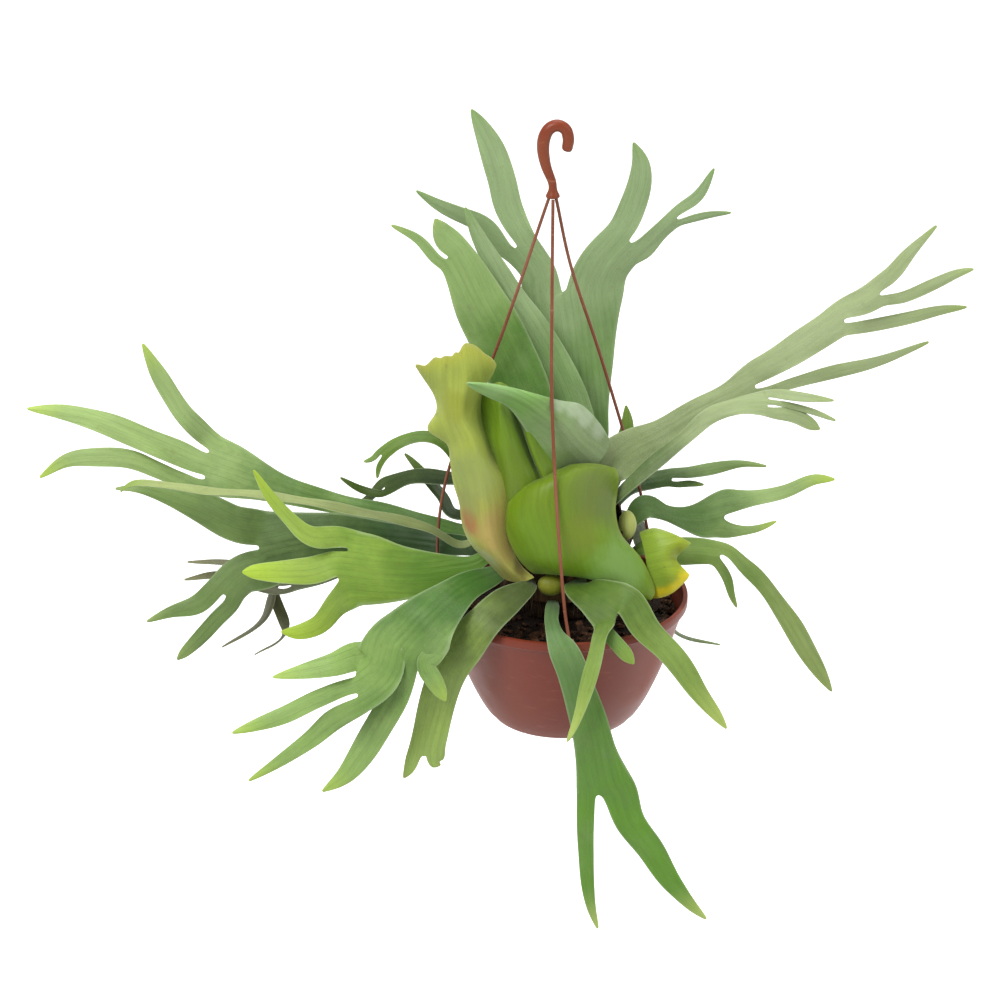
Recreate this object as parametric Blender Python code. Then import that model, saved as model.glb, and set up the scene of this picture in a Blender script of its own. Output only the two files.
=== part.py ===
"""Staghorn fern (Platycerium) in a 17 cm hanging pot, with its three-strand hanger.

The origin is the seat of the hanger's hook: the top of the inside of its bend. +Z is up, and -Y
is the front of the plant. Sizes of made parts are in metres. Leaves are drawn in centimetres
about the crown, the point 3 cm above the middle of the pot's rim, from which they spread.
"""

import math
from collections.abc import Sequence
from dataclasses import dataclass

import bmesh
import bpy
from mathutils import Vector
from mathutils.bvhtree import BVHTree

CM = 0.01
FIT = 0.0003                      # clearance between touching parts

# Pot: a round plastic bowl with a flat lip. Heights are from the rim.
POT_X = 0.006                     # the pot hangs a little to the right of the hook's seat
RIM_Z = -0.326
RIM_RADIUS = 0.085
RIM_ROUND = 0.0004
LIP_HEIGHT = 0.0055
LIP_STEP = 0.0024                 # how far the lip stands out from the wall
LIP_INNER = RIM_RADIUS - LIP_STEP - 0.0006
POT_HEIGHT = 0.087
POT_WALL = 0.0017
POT_OUTSIDE = ((0.0752, -0.030), (0.0673, -0.053), (0.0588, -0.072), (0.0528, -0.0822))
FOOT_RADIUS = 0.0485
FOOT_WIDTH = 0.004
FOOT_HEIGHT = 0.0014
FLOOR = -POT_HEIGHT + FOOT_HEIGHT + POT_WALL      # the inside of the bottom
DRAIN_HOLES = 4
DRAIN_RADIUS = 0.0035
DRAIN_RING = 0.030

SOIL_DEPTH = 0.012                # from the rim down to the potting mix
SOIL_RELIEF = 0.0016
SOIL_GAP = 0.0008                 # to the pot's wall

# Root mound: rhizome and old layered shields, standing in the mix.
MOUND_WIDTH = 0.084
MOUND_DEPTH = 0.064
MOUND_TOP = 0.053                 # above the crown
MOUND_SHIFT = 0.003               # the mound stands a little behind the pot's middle

CROWN = Vector((POT_X, 0.0, RIM_Z + 0.030))

# Hanger: hook, neck and three strands with clips over the pot's lip.
# The bar's middle line up the neck and round the hook, as (x, z, radius) in centimetres.
HOOK_LINE = ((-0.26, -4.00, 0.27), (-0.32, -3.39, 0.28), (-0.71, -2.34, 0.34),
             (-0.90, -1.29, 0.40), (-0.84, -0.45, 0.42), (-0.52, 0.17, 0.41),
             (0.02, 0.40, 0.40), (0.55, 0.12, 0.39), (0.73, -0.52, 0.38), (0.66, -1.10, 0.36))
NECK_RADIUS = 0.0027
YOKE_RADIUS = 0.0046
YOKE_TOP = -0.0400
YOKE_BOTTOM = -0.0445
YOKE_GAP = 0.0008                 # from the yoke down to the strands, which lean
NECK_X = -0.0026
STRAND_RADIUS = 0.0013
STRAND_RING = 0.0027              # the strands' distance from the neck's axis
CLIP_WIDTH = 0.0060
CLIP_THICK = 0.0016
CLIP_LEG = 0.0037                 # how far the clip reaches down inside the lip

# Leaves
ROW = 0.021                       # spacing of the rows across a blade
SINUS = 0.0026                    # width of the rounded notch between two lobes
PETIOLE_HALF = 0.0034             # half width of a frond where it leaves the mound
SHIELD_HALF = 0.0070
SEAT_GAP = 0.0006                 # from the mound to a leaf's stalk
BUD_GAP = 0.0001                  # buds are rounder, so they stand closer
STALK_THICK = 0.0024
BLADE_THICK = 0.0011
STALK_LENGTH = 0.080              # over this length a blade thins from stalk to blade
FROND_CURL = 16.0                 # degrees that a frond's edges turn back from its face
SHIELD_CURL = 58.0
FAN = 0.75                        # how far a fork's row turns towards each lobe
COLUMNS = ((0.45, 1), (1.4, 2), (2.4, 4), (9.0, 6))   # (half width below, columns of faces)


@dataclass(frozen=True)
class Strap:
    """One run of a blade, up to where it forks or ends.

    path holds (x, y, z, half width) in centimetres about the crown, and face is the direction
    that the blade's upper side looks in by the strap's end.
    """

    path: Sequence
    face: tuple = None
    lobes: Sequence = ()


@dataclass(frozen=True)
class Leaf:
    """A leaf: where its stalk leaves the mound, how that end faces, and its blade."""

    seat: tuple
    face: tuple
    blade: Strap


LEAVES = {
    "frond_left_grey": Leaf(
        seat=(-3.8, 1.9, 1.3), face=(0, -0.7, 0.7),
        blade=Strap([(-6.7, 3.5, 0.0, 0.62), (-8.6, 5.2, -0.3, 0.62), (-11.6, 6.0, 0.2, 0.69),
                     (-15.4, 6.1, 1.0, 0.76), (-18.1, 5.9, 1.8, 0.9), (-21.0, 5.6, 3.0, 1.38),
                     (-23.0, 5.4, 3.9, 1.93), (-24.2, 5.3, 4.4, 2.13)],
                    face=(0.1, -0.8, 0.6),
                    lobes=[
            Strap([(-25.6, 5.5, 7.5, 0.79), (-26.7, 5.6, 9.2, 0.72), (-27.7, 5.7, 11.0, 0.58),
                   (-28.6, 5.8, 12.9, 0.14)]),
            Strap([(-26.5, 5.2, 5.2, 0.89), (-29.4, 5.2, 6.5, 0.86), (-32.0, 5.2, 7.6, 0.75),
                   (-34.4, 5.2, 8.2, 0.51), (-36.6, 5.2, 8.4, 0.14)]),
            Strap([(-26.1, 5.1, 3.1, 0.55), (-27.9, 5.0, 4.0, 0.58), (-29.7, 4.9, 4.8, 0.65),
                   (-31.9, 4.8, 5.0, 0.65), (-34.0, 4.7, 4.8, 0.48), (-35.9, 4.5, 3.6, 0.12)])])),
    "frond_left_dark": Leaf(
        seat=(-4.0, 0.9, -0.4), face=(0, -0.9, 0.4),
        blade=Strap([(-6.6, 2.2, -0.5, 0.68), (-8.6, 3.5, -0.9, 0.83), (-11.5, 3.9, -0.7, 1.03),
                     (-14.6, 3.6, -0.3, 1.38), (-17.7, 3.1, -0.4, 1.92), (-20.2, 2.8, -0.8, 2.4)],
                    face=(0.05, -0.85, 0.5),
                    lobes=[
            Strap([(-22.4, 2.6, 1.0, 1.3), (-24.6, 2.5, 2.2, 1.09), (-26.9, 2.4, 3.1, 0.61),
                   (-28.9, 2.3, 3.7, 0.31), (-30.5, 2.5, 3.6, 0.12)]),
            Strap([(-22.0, 2.6, -2.8, 1.38), (-23.3, 2.5, -4.1, 1.31)],
                  lobes=[
                Strap([(-25.2, 2.4, -5.0, 0.69), (-27.0, 2.3, -5.5, 0.41), (-28.7, 2.2, -6.2, 0.12)]),
                Strap([(-23.9, 2.4, -6.1, 0.55), (-25.2, 2.3, -7.6, 0.52), (-26.7, 2.2, -9.1, 0.28)])])])),
    "frond_left_thin": Leaf(
        seat=(-3.4, 2.3, -0.2), face=(0, -0.1, 1),
        blade=Strap([(-8.5, 5.2, -2.3, 0.69), (-12.7, 6.4, -3.4, 0.84), (-16.9, 6.8, -4.5, 1.26),
                     (-19.4, 6.8, -5.1, 1.54)],
                    face=(0, -0.1, 1),
                    lobes=[
            Strap([(-22.9, 6.8, -3.8, 0.42), (-26.2, 6.8, -3.7, 0.12)]),
            Strap([(-23.6, 6.4, -4.5, 0.42), (-26.4, 6.2, -4.8, 0.12)]),
            Strap([(-21.0, 6.2, -7.9, 0.49), (-23.9, 6.0, -9.9, 0.12)]),
            Strap([(-19.4, 5.8, -8.6, 0.42), (-21.6, 5.6, -10.3, 0.12)])])),
    "frond_left_bright": Leaf(
        seat=(-4.1, -0.6, 0.9), face=(0, -0.5, 0.85),
        blade=Strap([(-5.8, -1.8, 0.0, 0.61), (-7.7, -2.5, -0.1, 1.01), (-9.8, -3.3, 0.0, 1.74),
                     (-12.3, -4.1, 0.5, 2.27), (-14.4, -4.5, 0.9, 2.53)],
                    face=(0.1, -0.8, 0.6),
                    lobes=[
            Strap([(-16.8, -4.7, 3.1, 0.73), (-18.3, -4.8, 4.6, 0.53), (-19.5, -4.8, 6.1, 0.4),
                   (-20.5, -4.8, 7.9, 0.12)]),
            Strap([(-16.8, -5.0, 0.8, 0.93), (-18.9, -5.2, 0.8, 0.76), (-20.5, -5.4, 0.9, 0.53),
                   (-21.4, -5.5, 0.9, 0.27)]),
            Strap([(-15.3, -5.2, -1.7, 0.8), (-16.3, -5.5, -2.9, 0.67), (-17.8, -5.7, -3.4, 0.5),
                   (-18.9, -5.8, -3.3, 0.17)])])),
    "frond_low_left": Leaf(
        seat=(-3.7, -1.5, -0.5), face=(0, -0.6, 0.8),
        blade=Strap([(-4.8, -3.5, -0.2, 0.74), (-6.8, -5.9, -0.1, 1.13), (-8.9, -8.4, -1.0, 1.78),
                     (-10.6, -8.9, -2.8, 2.44)],
                    face=(-0.1, -0.9, 0.45),
                    lobes=[
            Strap([(-12.4, -9.0, -4.4, 1.91), (-13.6, -9.0, -5.5, 1.92)],
                  lobes=[
                Strap([(-15.3, -9.1, -4.2, 0.79), (-17.3, -9.0, -4.7, 0.53), (-19.3, -9.1, -5.1, 0.13)]),
                Strap([(-16.4, -9.1, -6.7, 0.6), (-18.7, -9.1, -7.9, 0.6), (-20.6, -9.2, -8.6, 0.4),
                       (-22.1, -9.3, -9.1, 0.12)]),
                Strap([(-15.3, -9.1, -8.2, 0.73), (-16.9, -9.0, -9.7, 0.6), (-19.0, -9.1, -11.3, 0.4),
                       (-21.1, -9.2, -12.7, 0.12)])]),
            Strap([(-11.1, -9.0, -6.2, 0.93), (-12.3, -9.0, -8.6, 0.93), (-13.5, -8.8, -10.8, 0.87),
                   (-14.7, -8.9, -12.5, 0.6), (-16.2, -9.0, -13.6, 0.13)]),
            Strap([(-9.3, -9.5, -3.8, 0.66), (-8.6, -9.8, -5.1, 0.59), (-7.9, -9.8, -6.5, 0.33)])])),
    "frond_low_blunt": Leaf(
        seat=(-2.2, -2.5, -0.9), face=(0, -0.7, 0.7),
        blade=Strap([(-2.4, -4.6, -0.5, 0.6), (-3.8, -6.0, -0.9, 1.06), (-5.3, -7.3, -1.8, 1.19),
                     (-6.8, -7.5, -3.7, 1.39), (-7.9, -7.3, -5.8, 1.27), (-8.7, -7.2, -8.8, 1.21),
                     (-9.3, -7.2, -11.6, 1.21)],
                    face=(-0.1, -0.95, 0.3),
                    lobes=[
            Strap([(-10.4, -7.2, -12.8, 0.4), (-10.8, -7.2, -13.5, 0.13)]),
            Strap([(-8.7, -7.2, -12.5, 0.47), (-8.3, -7.2, -12.5, 0.27)])])),
    "frond_left_arched": Leaf(
        seat=(-3.9, 0.1, 2.6), face=(0, -0.4, 0.9),
        blade=Strap([(-6.3, 0.6, 4.6, 0.41), (-7.3, 1.0, 6.5, 0.4), (-8.3, 1.1, 7.7, 0.44),
                     (-9.7, 1.2, 8.0, 0.47), (-11.2, 1.2, 7.5, 0.47), (-12.3, 1.2, 6.6, 0.47)],
                    face=(0, -0.7, 0.7),
                    lobes=[
            Strap([(-12.9, 1.2, 6.3, 0.2), (-13.5, 1.2, 6.1, 0.12)]),
            Strap([(-12.5, 1.2, 5.7, 0.2), (-12.6, 1.2, 4.9, 0.12)])])),
    "frond_left_shaded": Leaf(
        seat=(-3.5, 1.7, 2.6), face=(0, -0.4, 0.9),
        blade=Strap([(-6.3, 3.2, 3.8, 0.55), (-8.1, 4.5, 3.6, 0.55), (-10.4, 5.8, 3.2, 0.62),
                     (-12.3, 6.9, 2.0, 0.69)],
                    face=(0, -0.7, 0.7),
                    lobes=[
            Strap([(-13.9, 7.2, 1.6, 0.28), (-15.4, 7.2, 2.5, 0.12)]),
            Strap([(-13.5, 7.5, 0.8, 0.42), (-15.1, 7.7, -0.3, 0.14)])])),
    "frond_upper_left": Leaf(
        seat=(-1.5, 0.7, 5.2), face=(0, -0.9, 0.3),
        blade=Strap([(-1.5, 1.4, 6.9, 1.08), (-2.1, 1.9, 9.2, 1.62), (-3.0, 2.3, 11.4, 1.88),
                     (-4.3, 2.6, 14.2, 1.94), (-5.6, 2.8, 16.7, 1.8), (-6.7, 2.9, 19.0, 1.4),
                     (-7.4, 2.9, 20.3, 1.2)],
                    face=(0.1, -0.95, 0.2),
                    lobes=[
            Strap([(-9.7, 2.9, 21.3, 0.33), (-11.5, 2.9, 22.3, 0.12)]),
            Strap([(-7.9, 3.0, 21.4, 0.86), (-8.6, 3.0, 22.7, 0.26)])])),
    "frond_upper_strap": Leaf(
        seat=(0.2, 1.7, 5.2), face=(0, -0.9, 0.3),
        blade=Strap([(1.3, 2.8, 6.2, 0.95), (0.8, 3.5, 8.7, 1.22), (-0.5, 3.9, 11.8, 1.22),
                     (-1.9, 4.1, 14.5, 1.01), (-3.5, 4.2, 17.0, 0.81), (-4.8, 4.2, 19.3, 0.64),
                     (-5.8, 4.2, 21.2, 0.47), (-6.6, 4.2, 23.1, 0.13)],
                    face=(0.1, -0.95, 0.2))),
    "frond_tall_back": Leaf(
        seat=(1.8, 2.0, 4.4), face=(0, -0.9, 0.3),
        blade=Strap([(2.1, 4.4, 5.9, 0.96), (1.8, 5.2, 8.3, 1.37), (1.4, 5.8, 11.6, 2.04),
                     (1.1, 6.1, 14.1, 2.65), (0.8, 6.2, 15.9, 3.19)],
                    face=(0, -0.97, 0.2),
                    lobes=[
            Strap([(-1.7, 6.3, 17.8, 1.22), (-3.0, 6.3, 19.6, 1.35)],
                  lobes=[
                Strap([(-5.4, 6.3, 21.1, 0.74), (-7.2, 6.3, 22.0, 0.6), (-8.6, 6.3, 22.7, 0.4),
                       (-9.9, 6.3, 23.6, 0.12)]),
                Strap([(-3.7, 6.5, 22.3, 0.94), (-4.2, 6.6, 24.3, 0.94), (-4.8, 6.7, 26.3, 0.87),
                       (-5.6, 6.8, 28.0, 0.53), (-6.2, 6.8, 29.1, 0.13)])]),
            Strap([(2.7, 6.2, 18.2, 1.82), (4.1, 6.2, 20.0, 1.62)],
                  lobes=[
                Strap([(4.4, 6.3, 22.0, 0.91), (5.0, 6.4, 23.8, 0.84), (5.1, 6.5, 25.5, 0.6),
                       (4.6, 6.5, 26.9, 0.13)]),
                Strap([(6.3, 6.2, 20.6, 0.67), (7.5, 6.2, 21.7, 0.67)],
                      lobes=[
                    Strap([(9.0, 6.2, 23.3, 0.4), (10.0, 6.2, 25.2, 0.12)]),
                    Strap([(9.5, 6.2, 21.9, 0.3), (11.2, 6.2, 22.1, 0.12)])])])])),
    "frond_right_long": Leaf(
        seat=(2.8, -0.3, 4.3), face=(0, -0.8, 0.6),
        blade=Strap([(2.7, -1.1, 5.9, 1.), (3.5, -0.7, 7.0, 1.54), (4.9, 0.1, 7.8, 1.27),
                     (6.6, 0.9, 8.4, 0.94), (9.1, 1.3, 9.9, 0.81), (11.1, 1.6, 10.8, 0.87),
                     (12.6, 1.8, 11.7, 1.14)],
                    face=(-0.2, -0.85, 0.5),
                    lobes=[
            Strap([(14.8, 2.0, 13.5, 1.), (16.8, 2.2, 14.8, 1.07), (18.4, 2.4, 16.0, 1.2)],
                  lobes=[
                Strap([(19.9, 2.5, 17.1, 0.93), (20.8, 2.5, 17.7, 1.)],
                      lobes=[
                    Strap([(21.8, 2.6, 19.1, 0.66), (23.0, 2.7, 20.6, 0.43), (24.6, 2.8, 22.3, 0.12)]),
                    Strap([(22.7, 2.6, 17.4, 0.4), (24.7, 2.7, 18.3, 0.4), (26.1, 2.7, 19.0, 0.3),
                           (27.2, 2.7, 19.3, 0.12)])]),
                Strap([(20.6, 2.5, 15.4, 0.43), (23.0, 2.6, 15.9, 0.43), (25.1, 2.7, 16.4, 0.33),
                       (26.9, 2.8, 16.6, 0.12)])]),
            Strap([(15.5, 1.8, 11.6, 0.37), (18.2, 2.0, 12.3, 0.47), (21.2, 2.2, 13.0, 0.34),
                   (24.4, 2.3, 14.3, 0.12)])])),
    "frond_right_fold": Leaf(
        seat=(3.0, -1.2, 3.9), face=(0, -0.7, 0.7),
        blade=Strap([(4.1, -2.4, 5.7, 0.53), (5.8, -2.5, 7.4, 0.6), (8.0, -2.2, 9.3, 0.6),
                     (9.7, -1.8, 10.7, 0.6), (11.7, -1.7, 11.4, 0.73), (13.4, -1.6, 11.5, 0.99)],
                    face=(0, -0.6, 0.8),
                    lobes=[
            Strap([(15.6, -1.6, 11.9, 0.46), (17.8, -1.6, 11.6, 0.12)]),
            Strap([(16.1, -1.5, 10.9, 0.27), (18.0, -1.4, 10.1, 0.12)]),
            Strap([(15.1, -1.9, 10.7, 0.53), (16.3, -2.0, 10.1, 0.46), (16.9, -2.0, 9.7, 0.27)])])),
    "frond_center_fold": Leaf(
        seat=(0.7, -0.9, 5.3), face=(0, -0.8, 0.6),
        blade=Strap([(1.8, -2.1, 7.3, 1.13), (1.0, -2.4, 8.6, 1.79), (-0.5, -2.8, 9.9, 1.92),
                     (-2.2, -3.7, 11.4, 1.25), (-4.0, -4.6, 12.8, 0.59), (-6.3, -5.2, 14.0, 0.13)],
                    face=(0.2, -0.8, 0.6))),
    "frond_right_dark": Leaf(
        seat=(3.2, 2.4, 2.2), face=(0, -0.5, 0.85),
        blade=Strap([(4.5, 4.7, 2.7, 0.55), (6.1, 5.6, 2.9, 0.62), (7.6, 5.9, 3.1, 0.62)],
                    face=(0, -0.7, 0.7),
                    lobes=[
            Strap([(9.9, 6.0, 3.6, 0.52), (12.3, 6.1, 4.0, 0.28), (14.1, 6.1, 3.8, 0.12)]),
            Strap([(8.8, 5.9, 2.6, 0.24), (9.8, 5.9, 2.5, 0.12)])])),
    "frond_right_cupped": Leaf(
        seat=(4.0, 0.5, 1.6), face=(0, -0.6, 0.8),
        blade=Strap([(5.5, 1.4, 2.8, 0.95), (6.9, 1.9, 2.1, 0.55), (8.3, 2.2, 1.6, 0.82),
                     (9.6, 2.4, 1.5, 1.3), (10.9, 2.5, 1.9, 1.5)],
                    face=(0, -0.8, 0.6),
                    lobes=[
            Strap([(12.9, 2.6, 2.9, 0.61), (15.1, 2.7, 3.3, 0.48), (17.0, 2.7, 4.2, 0.41),
                   (18.5, 2.7, 4.2, 0.17)]),
            Strap([(12.3, 2.5, 0.5, 0.34), (13.5, 2.5, 0.7, 0.24), (14.6, 2.5, 1.2, 0.12)])])),
    "frond_right_droop": Leaf(
        seat=(4.1, 0.0, -0.3), face=(0, -0.5, 0.85),
        blade=Strap([(5.5, -0.5, 0.6, 0.61), (7.3, -0.7, 0.4, 1.01), (9.1, -0.8, 0.4, 0.95),
                     (10.6, -0.9, 0.3, 0.81)],
                    face=(0.1, -0.8, 0.6),
                    lobes=[
            Strap([(12.3, -0.9, -0.7, 0.58), (13.8, -0.8, -2.3, 0.58), (15.3, -0.8, -4.6, 0.68),
                   (16.6, -0.8, -6.8, 0.72), (17.7, -0.8, -8.7, 0.48), (18.5, -0.8, -10.1, 0.12)]),
            Strap([(11.1, -1.0, -1.5, 0.34), (11.4, -1.0, -2.7, 0.24), (11.8, -1.0, -3.7, 0.12)])])),
    "frond_front_fork": Leaf(
        seat=(1.0, -2.8, -0.7), face=(0, -0.5, 0.85),
        blade=Strap([(0.8, -4.9, -0.4, 0.93), (2.1, -6.4, -0.4, 1.46), (3.3, -7.6, -0.7, 1.85)],
                    face=(0, -0.8, 0.6),
                    lobes=[
            Strap([(2.2, -9.7, -1.8, 0.59), (1.8, -10.9, -3.1, 0.59), (1.2, -11.6, -5.3, 0.49),
                   (0.6, -11.9, -7.2, 0.29), (0.1, -12.0, -8.4, 0.13)]),
            Strap([(5.3, -8.3, -1.9, 0.99), (7.1, -8.6, -3.7, 0.86), (8.8, -8.6, -6.3, 0.66),
                   (10.0, -8.5, -8.0, 0.43), (10.8, -8.4, -9.2, 0.13)])])),
    "frond_front_long": Leaf(
        seat=(-0.7, -2.8, -2.4), face=(0, -0.4, 0.9),
        blade=Strap([(-0.8, -5.0, -1.9, 0.47), (-0.9, -7.2, -1.8, 0.46), (-0.7, -8.8, -2.0, 0.59),
                     (-0.2, -9.8, -2.7, 0.98), (0.5, -10.3, -4.2, 1.05), (1.4, -10.6, -7.1, 1.19),
                     (2.1, -10.7, -10.2, 1.39), (2.6, -10.7, -12.6, 1.86)],
                    face=(0, -1, 0.1),
                    lobes=[
            Strap([(1.4, -10.7, -15.6, 0.57), (1.5, -10.7, -18.6, 0.5), (1.8, -10.7, -21.3, 0.34),
                   (2.3, -10.7, -23.1, 0.12)]),
            Strap([(4.4, -10.8, -15.0, 1.), (5.9, -10.9, -17.2, 0.9), (7.2, -11.0, -19.4, 0.67),
                   (8.5, -11.0, -21.1, 0.4), (9.6, -11.0, -22.2, 0.12)])])),
    "frond_front_small": Leaf(
        seat=(2.2, -2.5, -1.2), face=(0, -0.4, 0.9),
        blade=Strap([(2.2, -6.8, -2.0, 0.4), (2.7, -8.6, -2.0, 0.46), (3.4, -9.3, -2.6, 0.49),
                     (4.1, -9.7, -3.3, 0.46), (4.5, -9.8, -3.8, 0.2)],
                    face=(0.1, -0.9, 0.4))),
    "frond_right_tip": Leaf(
        seat=(3.1, 1.0, 4.0), face=(0, -0.9, 0.3),
        blade=Strap([(3.9, 4.6, 5.6, 0.48), (4.4, 4.9, 7.1, 0.48), (4.3, 5.0, 8.7, 0.14)],
                    face=(0, -0.9, 0.3))),
    "shield_tall": Leaf(
        seat=(-2.2, -2.6, 0.3), face=(0, 0, -1),
        blade=Strap([(-2.7, -4.2, 0.0, 0.93), (-3.6, -4.8, 1.4, 1.66), (-4.6, -5.0, 3.4, 2.12),
                     (-5.3, -5.0, 5.5, 2.05), (-5.9, -4.8, 7.9, 1.91), (-6.7, -4.5, 10.1, 2.1)],
                    face=(-0.25, -0.95, 0.1),
                    lobes=[
            Strap([(-8.2, -3.9, 10.4, 0.59), (-9.0, -3.6, 10.3, 0.2)]),
            Strap([(-6.9, -4.3, 11.8, 1.9), (-7.2, -4.0, 13.4, 2.42)],
                  lobes=[
                Strap([(-8.9, -3.6, 14.4, 0.78), (-9.8, -3.4, 14.8, 0.2)]),
                Strap([(-7.6, -3.8, 14.7, 0.78), (-8.0, -3.7, 15.5, 0.33)]),
                Strap([(-6.0, -3.9, 14.9, 0.98), (-6.1, -3.8, 16.2, 0.33)])])])),
    "shield_inner": Leaf(
        seat=(-1.3, -2.0, 3.0), face=(0, 0, -1),
        blade=Strap([(-2.1, -3.1, 4.7, 1.), (-2.8, -3.0, 6.5, 1.53), (-3.7, -3.0, 8.6, 1.59),
                     (-4.4, -2.9, 10.1, 1.39)],
                    face=(-0.1, -0.97, 0.1),
                    lobes=[
            Strap([(-5.5, -2.8, 11.6, 0.46), (-6.1, -2.7, 12.5, 0.13)]),
            Strap([(-3.8, -2.8, 11.2, 0.46), (-4.1, -2.8, 12.2, 0.13)])])),
    "shield_front": Leaf(
        seat=(1.3, -2.9, 1.2), face=(0, 0, -1),
        blade=Strap([(1.9, -4.3, -0.2, 2.8), (1.5, -5.0, 1.1, 3.65), (1.0, -5.4, 2.8, 3.97),
                     (0.5, -5.3, 4.5, 3.89), (0.2, -4.8, 5.8, 3.5), (0.2, -4.2, 6.8, 2.77),
                     (0.5, -3.6, 7.7, 1.65)],
                    face=(0, -0.97, 0.2))),
    "shield_right": Leaf(
        seat=(3.6, -1.2, 0.6), face=(0, -0.6, 0.8),
        blade=Strap([(5.4, -2.8, 0.6, 1.34), (6.4, -3.4, 0.1, 1.81)],
                    face=(0.3, -0.7, 0.6),
                    lobes=[
            Strap([(7.5, -3.5, 1.7, 0.67), (8.4, -3.4, 2.1, 0.4)]),
            Strap([(7.4, -3.7, -0.9, 1.14), (7.9, -3.6, -1.2, 0.6)])])),
    "frond_left_sliver": Leaf(
        seat=(-3.2, 2.4, 1.9), face=(0, -0.4, 0.9),
        blade=Strap([(-7.3, 3.9, 1.1, 0.45), (-8.2, 5.3, 1.8, 0.41), (-9.2, 6.6, 2.5, 0.38),
                     (-10.1, 7.0, 3.5, 0.28), (-10.9, 7.2, 4.3, 0.12)],
                    face=(0.1, -0.7, 0.6))),
    "frond_back_right": Leaf(
        seat=(2.6, 2.8, 0.2), face=(0, 0.3, 0.9),
        blade=Strap([(3.4, 5.0, 0.6, 0.5), (5.0, 8.2, -0.8, 0.8), (6.6, 9.6, -5.2, 1.0)],
                    face=(0.5, 0.6, 0.5),
                    lobes=[
            Strap([(7.5, 9.4, -9.1, 0.5), (8.7, 9.2, -10.5, 0.35), (11.4, 9.0, -11.1, 0.1)]),
            Strap([(6.6, 9.8, -8.8, 0.6), (6.0, 9.8, -12.0, 0.15)])])),
    "frond_back_low": Leaf(
        seat=(0.4, 3.5, -0.4), face=(0, 0.4, 0.9),
        blade=Strap([(0.4, 6.2, 0.4, 0.6), (-0.2, 9.2, -0.8, 1.2), (-0.8, 11.2, -4.6, 1.8)],
                    face=(0, 1, 0.2),
                    lobes=[
            Strap([(-2.4, 11.8, -9.0, 0.9), (-3.2, 11.6, -13.0, 0.15)]),
            Strap([(0.4, 11.9, -8.6, 0.9), (1.3, 11.8, -12.4, 0.15)])])),
    "frond_back_out": Leaf(
        seat=(0.8, 3.4, 2.6), face=(0, 0.1, 1),
        blade=Strap([(1.0, 6.2, 3.6, 0.6), (0.9, 9.5, 4.9, 1.1), (0.7, 12.5, 5.6, 1.7)],
                    face=(0, -0.2, 1),
                    lobes=[
            Strap([(-0.6, 15.5, 6.0, 0.8), (-1.4, 18.5, 5.6, 0.15)]),
            Strap([(1.7, 15.8, 6.4, 0.8), (2.0, 19.0, 6.2, 0.15)])])),
    "shield_back": Leaf(
        seat=(-1.9, 3.0, -1.0), face=(0, 0, -1),
        blade=Strap([(-2.3, 4.4, -0.6, 1.3), (-2.4, 4.7, 1.6, 1.6), (-2.2, 4.5, 3.9, 1.5),
                     (-1.9, 4.0, 5.6, 0.8)],
                    face=(-0.2, 1, 0.1))),
}

BUDS = {
    "bud_front": ((-0.8, -2.9, -0.9), (0.98, 0.70, 0.78)),
    "bud_side": ((4.2, -0.9, 2.3), (0.66, 0.60, 1.10)),
}

STRANDS = {
    "left": (160.0, [(-4.3, 1.1, 14.9), (-7.7, 2.0, 5.5), (-8.6, 2.7, -0.9)]),
    "front": (-88.0, [(-0.9, -1.9, 18.7), (-0.9, -3.8, 12.5), (-0.6, -5.7, 6.2), (-0.1, -7.6, -0.2)]),
    "right": (38.0, [(0.4, 1.0, 20.0), (2.3, 2.1, 13.8), (4.0, 3.2, 7.8), (5.2, 4.1, 3.3),
                     (5.9, 4.8, -0.4)]),
}

GREEN = (0.13, 0.25, 0.09)
BRIGHT_GREEN = (0.20, 0.37, 0.06)
PALE_GREEN = (0.22, 0.32, 0.15)
SHIELD_YELLOW = (0.34, 0.37, 0.08)
LEAF_COLOURS = {
    "frond_left_bright": BRIGHT_GREEN, "frond_front_fork": BRIGHT_GREEN,
    "frond_right_long": PALE_GREEN, "frond_right_fold": PALE_GREEN,
    "frond_center_fold": PALE_GREEN, "shield_tall": SHIELD_YELLOW,
    "shield_inner": BRIGHT_GREEN, "shield_front": BRIGHT_GREEN, "shield_right": BRIGHT_GREEN,
    "shield_back": (0.25, 0.16, 0.08),
}
TERRACOTTA = (0.25, 0.07, 0.045)


def clear_scene():
    """Remove every object, so that the model starts from nothing."""
    for obj in list(bpy.data.objects):
        bpy.data.objects.remove(obj, do_unlink=True)


def material(name, colour, roughness):
    """A plain Principled material."""
    mat = bpy.data.materials.new(name)
    mat.use_nodes = True
    shader = mat.node_tree.nodes["Principled BSDF"]
    shader.inputs["Base Color"].default_value = (*colour, 1.0)
    shader.inputs["Roughness"].default_value = roughness
    return mat


def add_object(name, bm, colour, roughness=0.6):
    """Turn a bmesh into a named, smooth-shaded object with its own material."""
    bmesh.ops.recalc_face_normals(bm, faces=bm.faces[:])
    mesh = bpy.data.meshes.new(name)
    bm.to_mesh(mesh)
    bm.free()
    mesh.shade_smooth()
    mesh.set_sharp_from_angle(angle=math.radians(40))
    obj = bpy.data.objects.new(name, mesh)
    bpy.context.collection.objects.link(obj)
    mesh.materials.append(material(name, colour, roughness))
    return obj


def boolean(obj, cutter, operation):
    """Join or cut with another object, which stays as a hidden guide."""
    cutter.hide_render = True
    cutter.display_type = "WIRE"
    modifier = obj.modifiers.new(operation.lower(), "BOOLEAN")
    modifier.operation = operation
    modifier.solver = "EXACT"
    modifier.object = cutter


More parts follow.
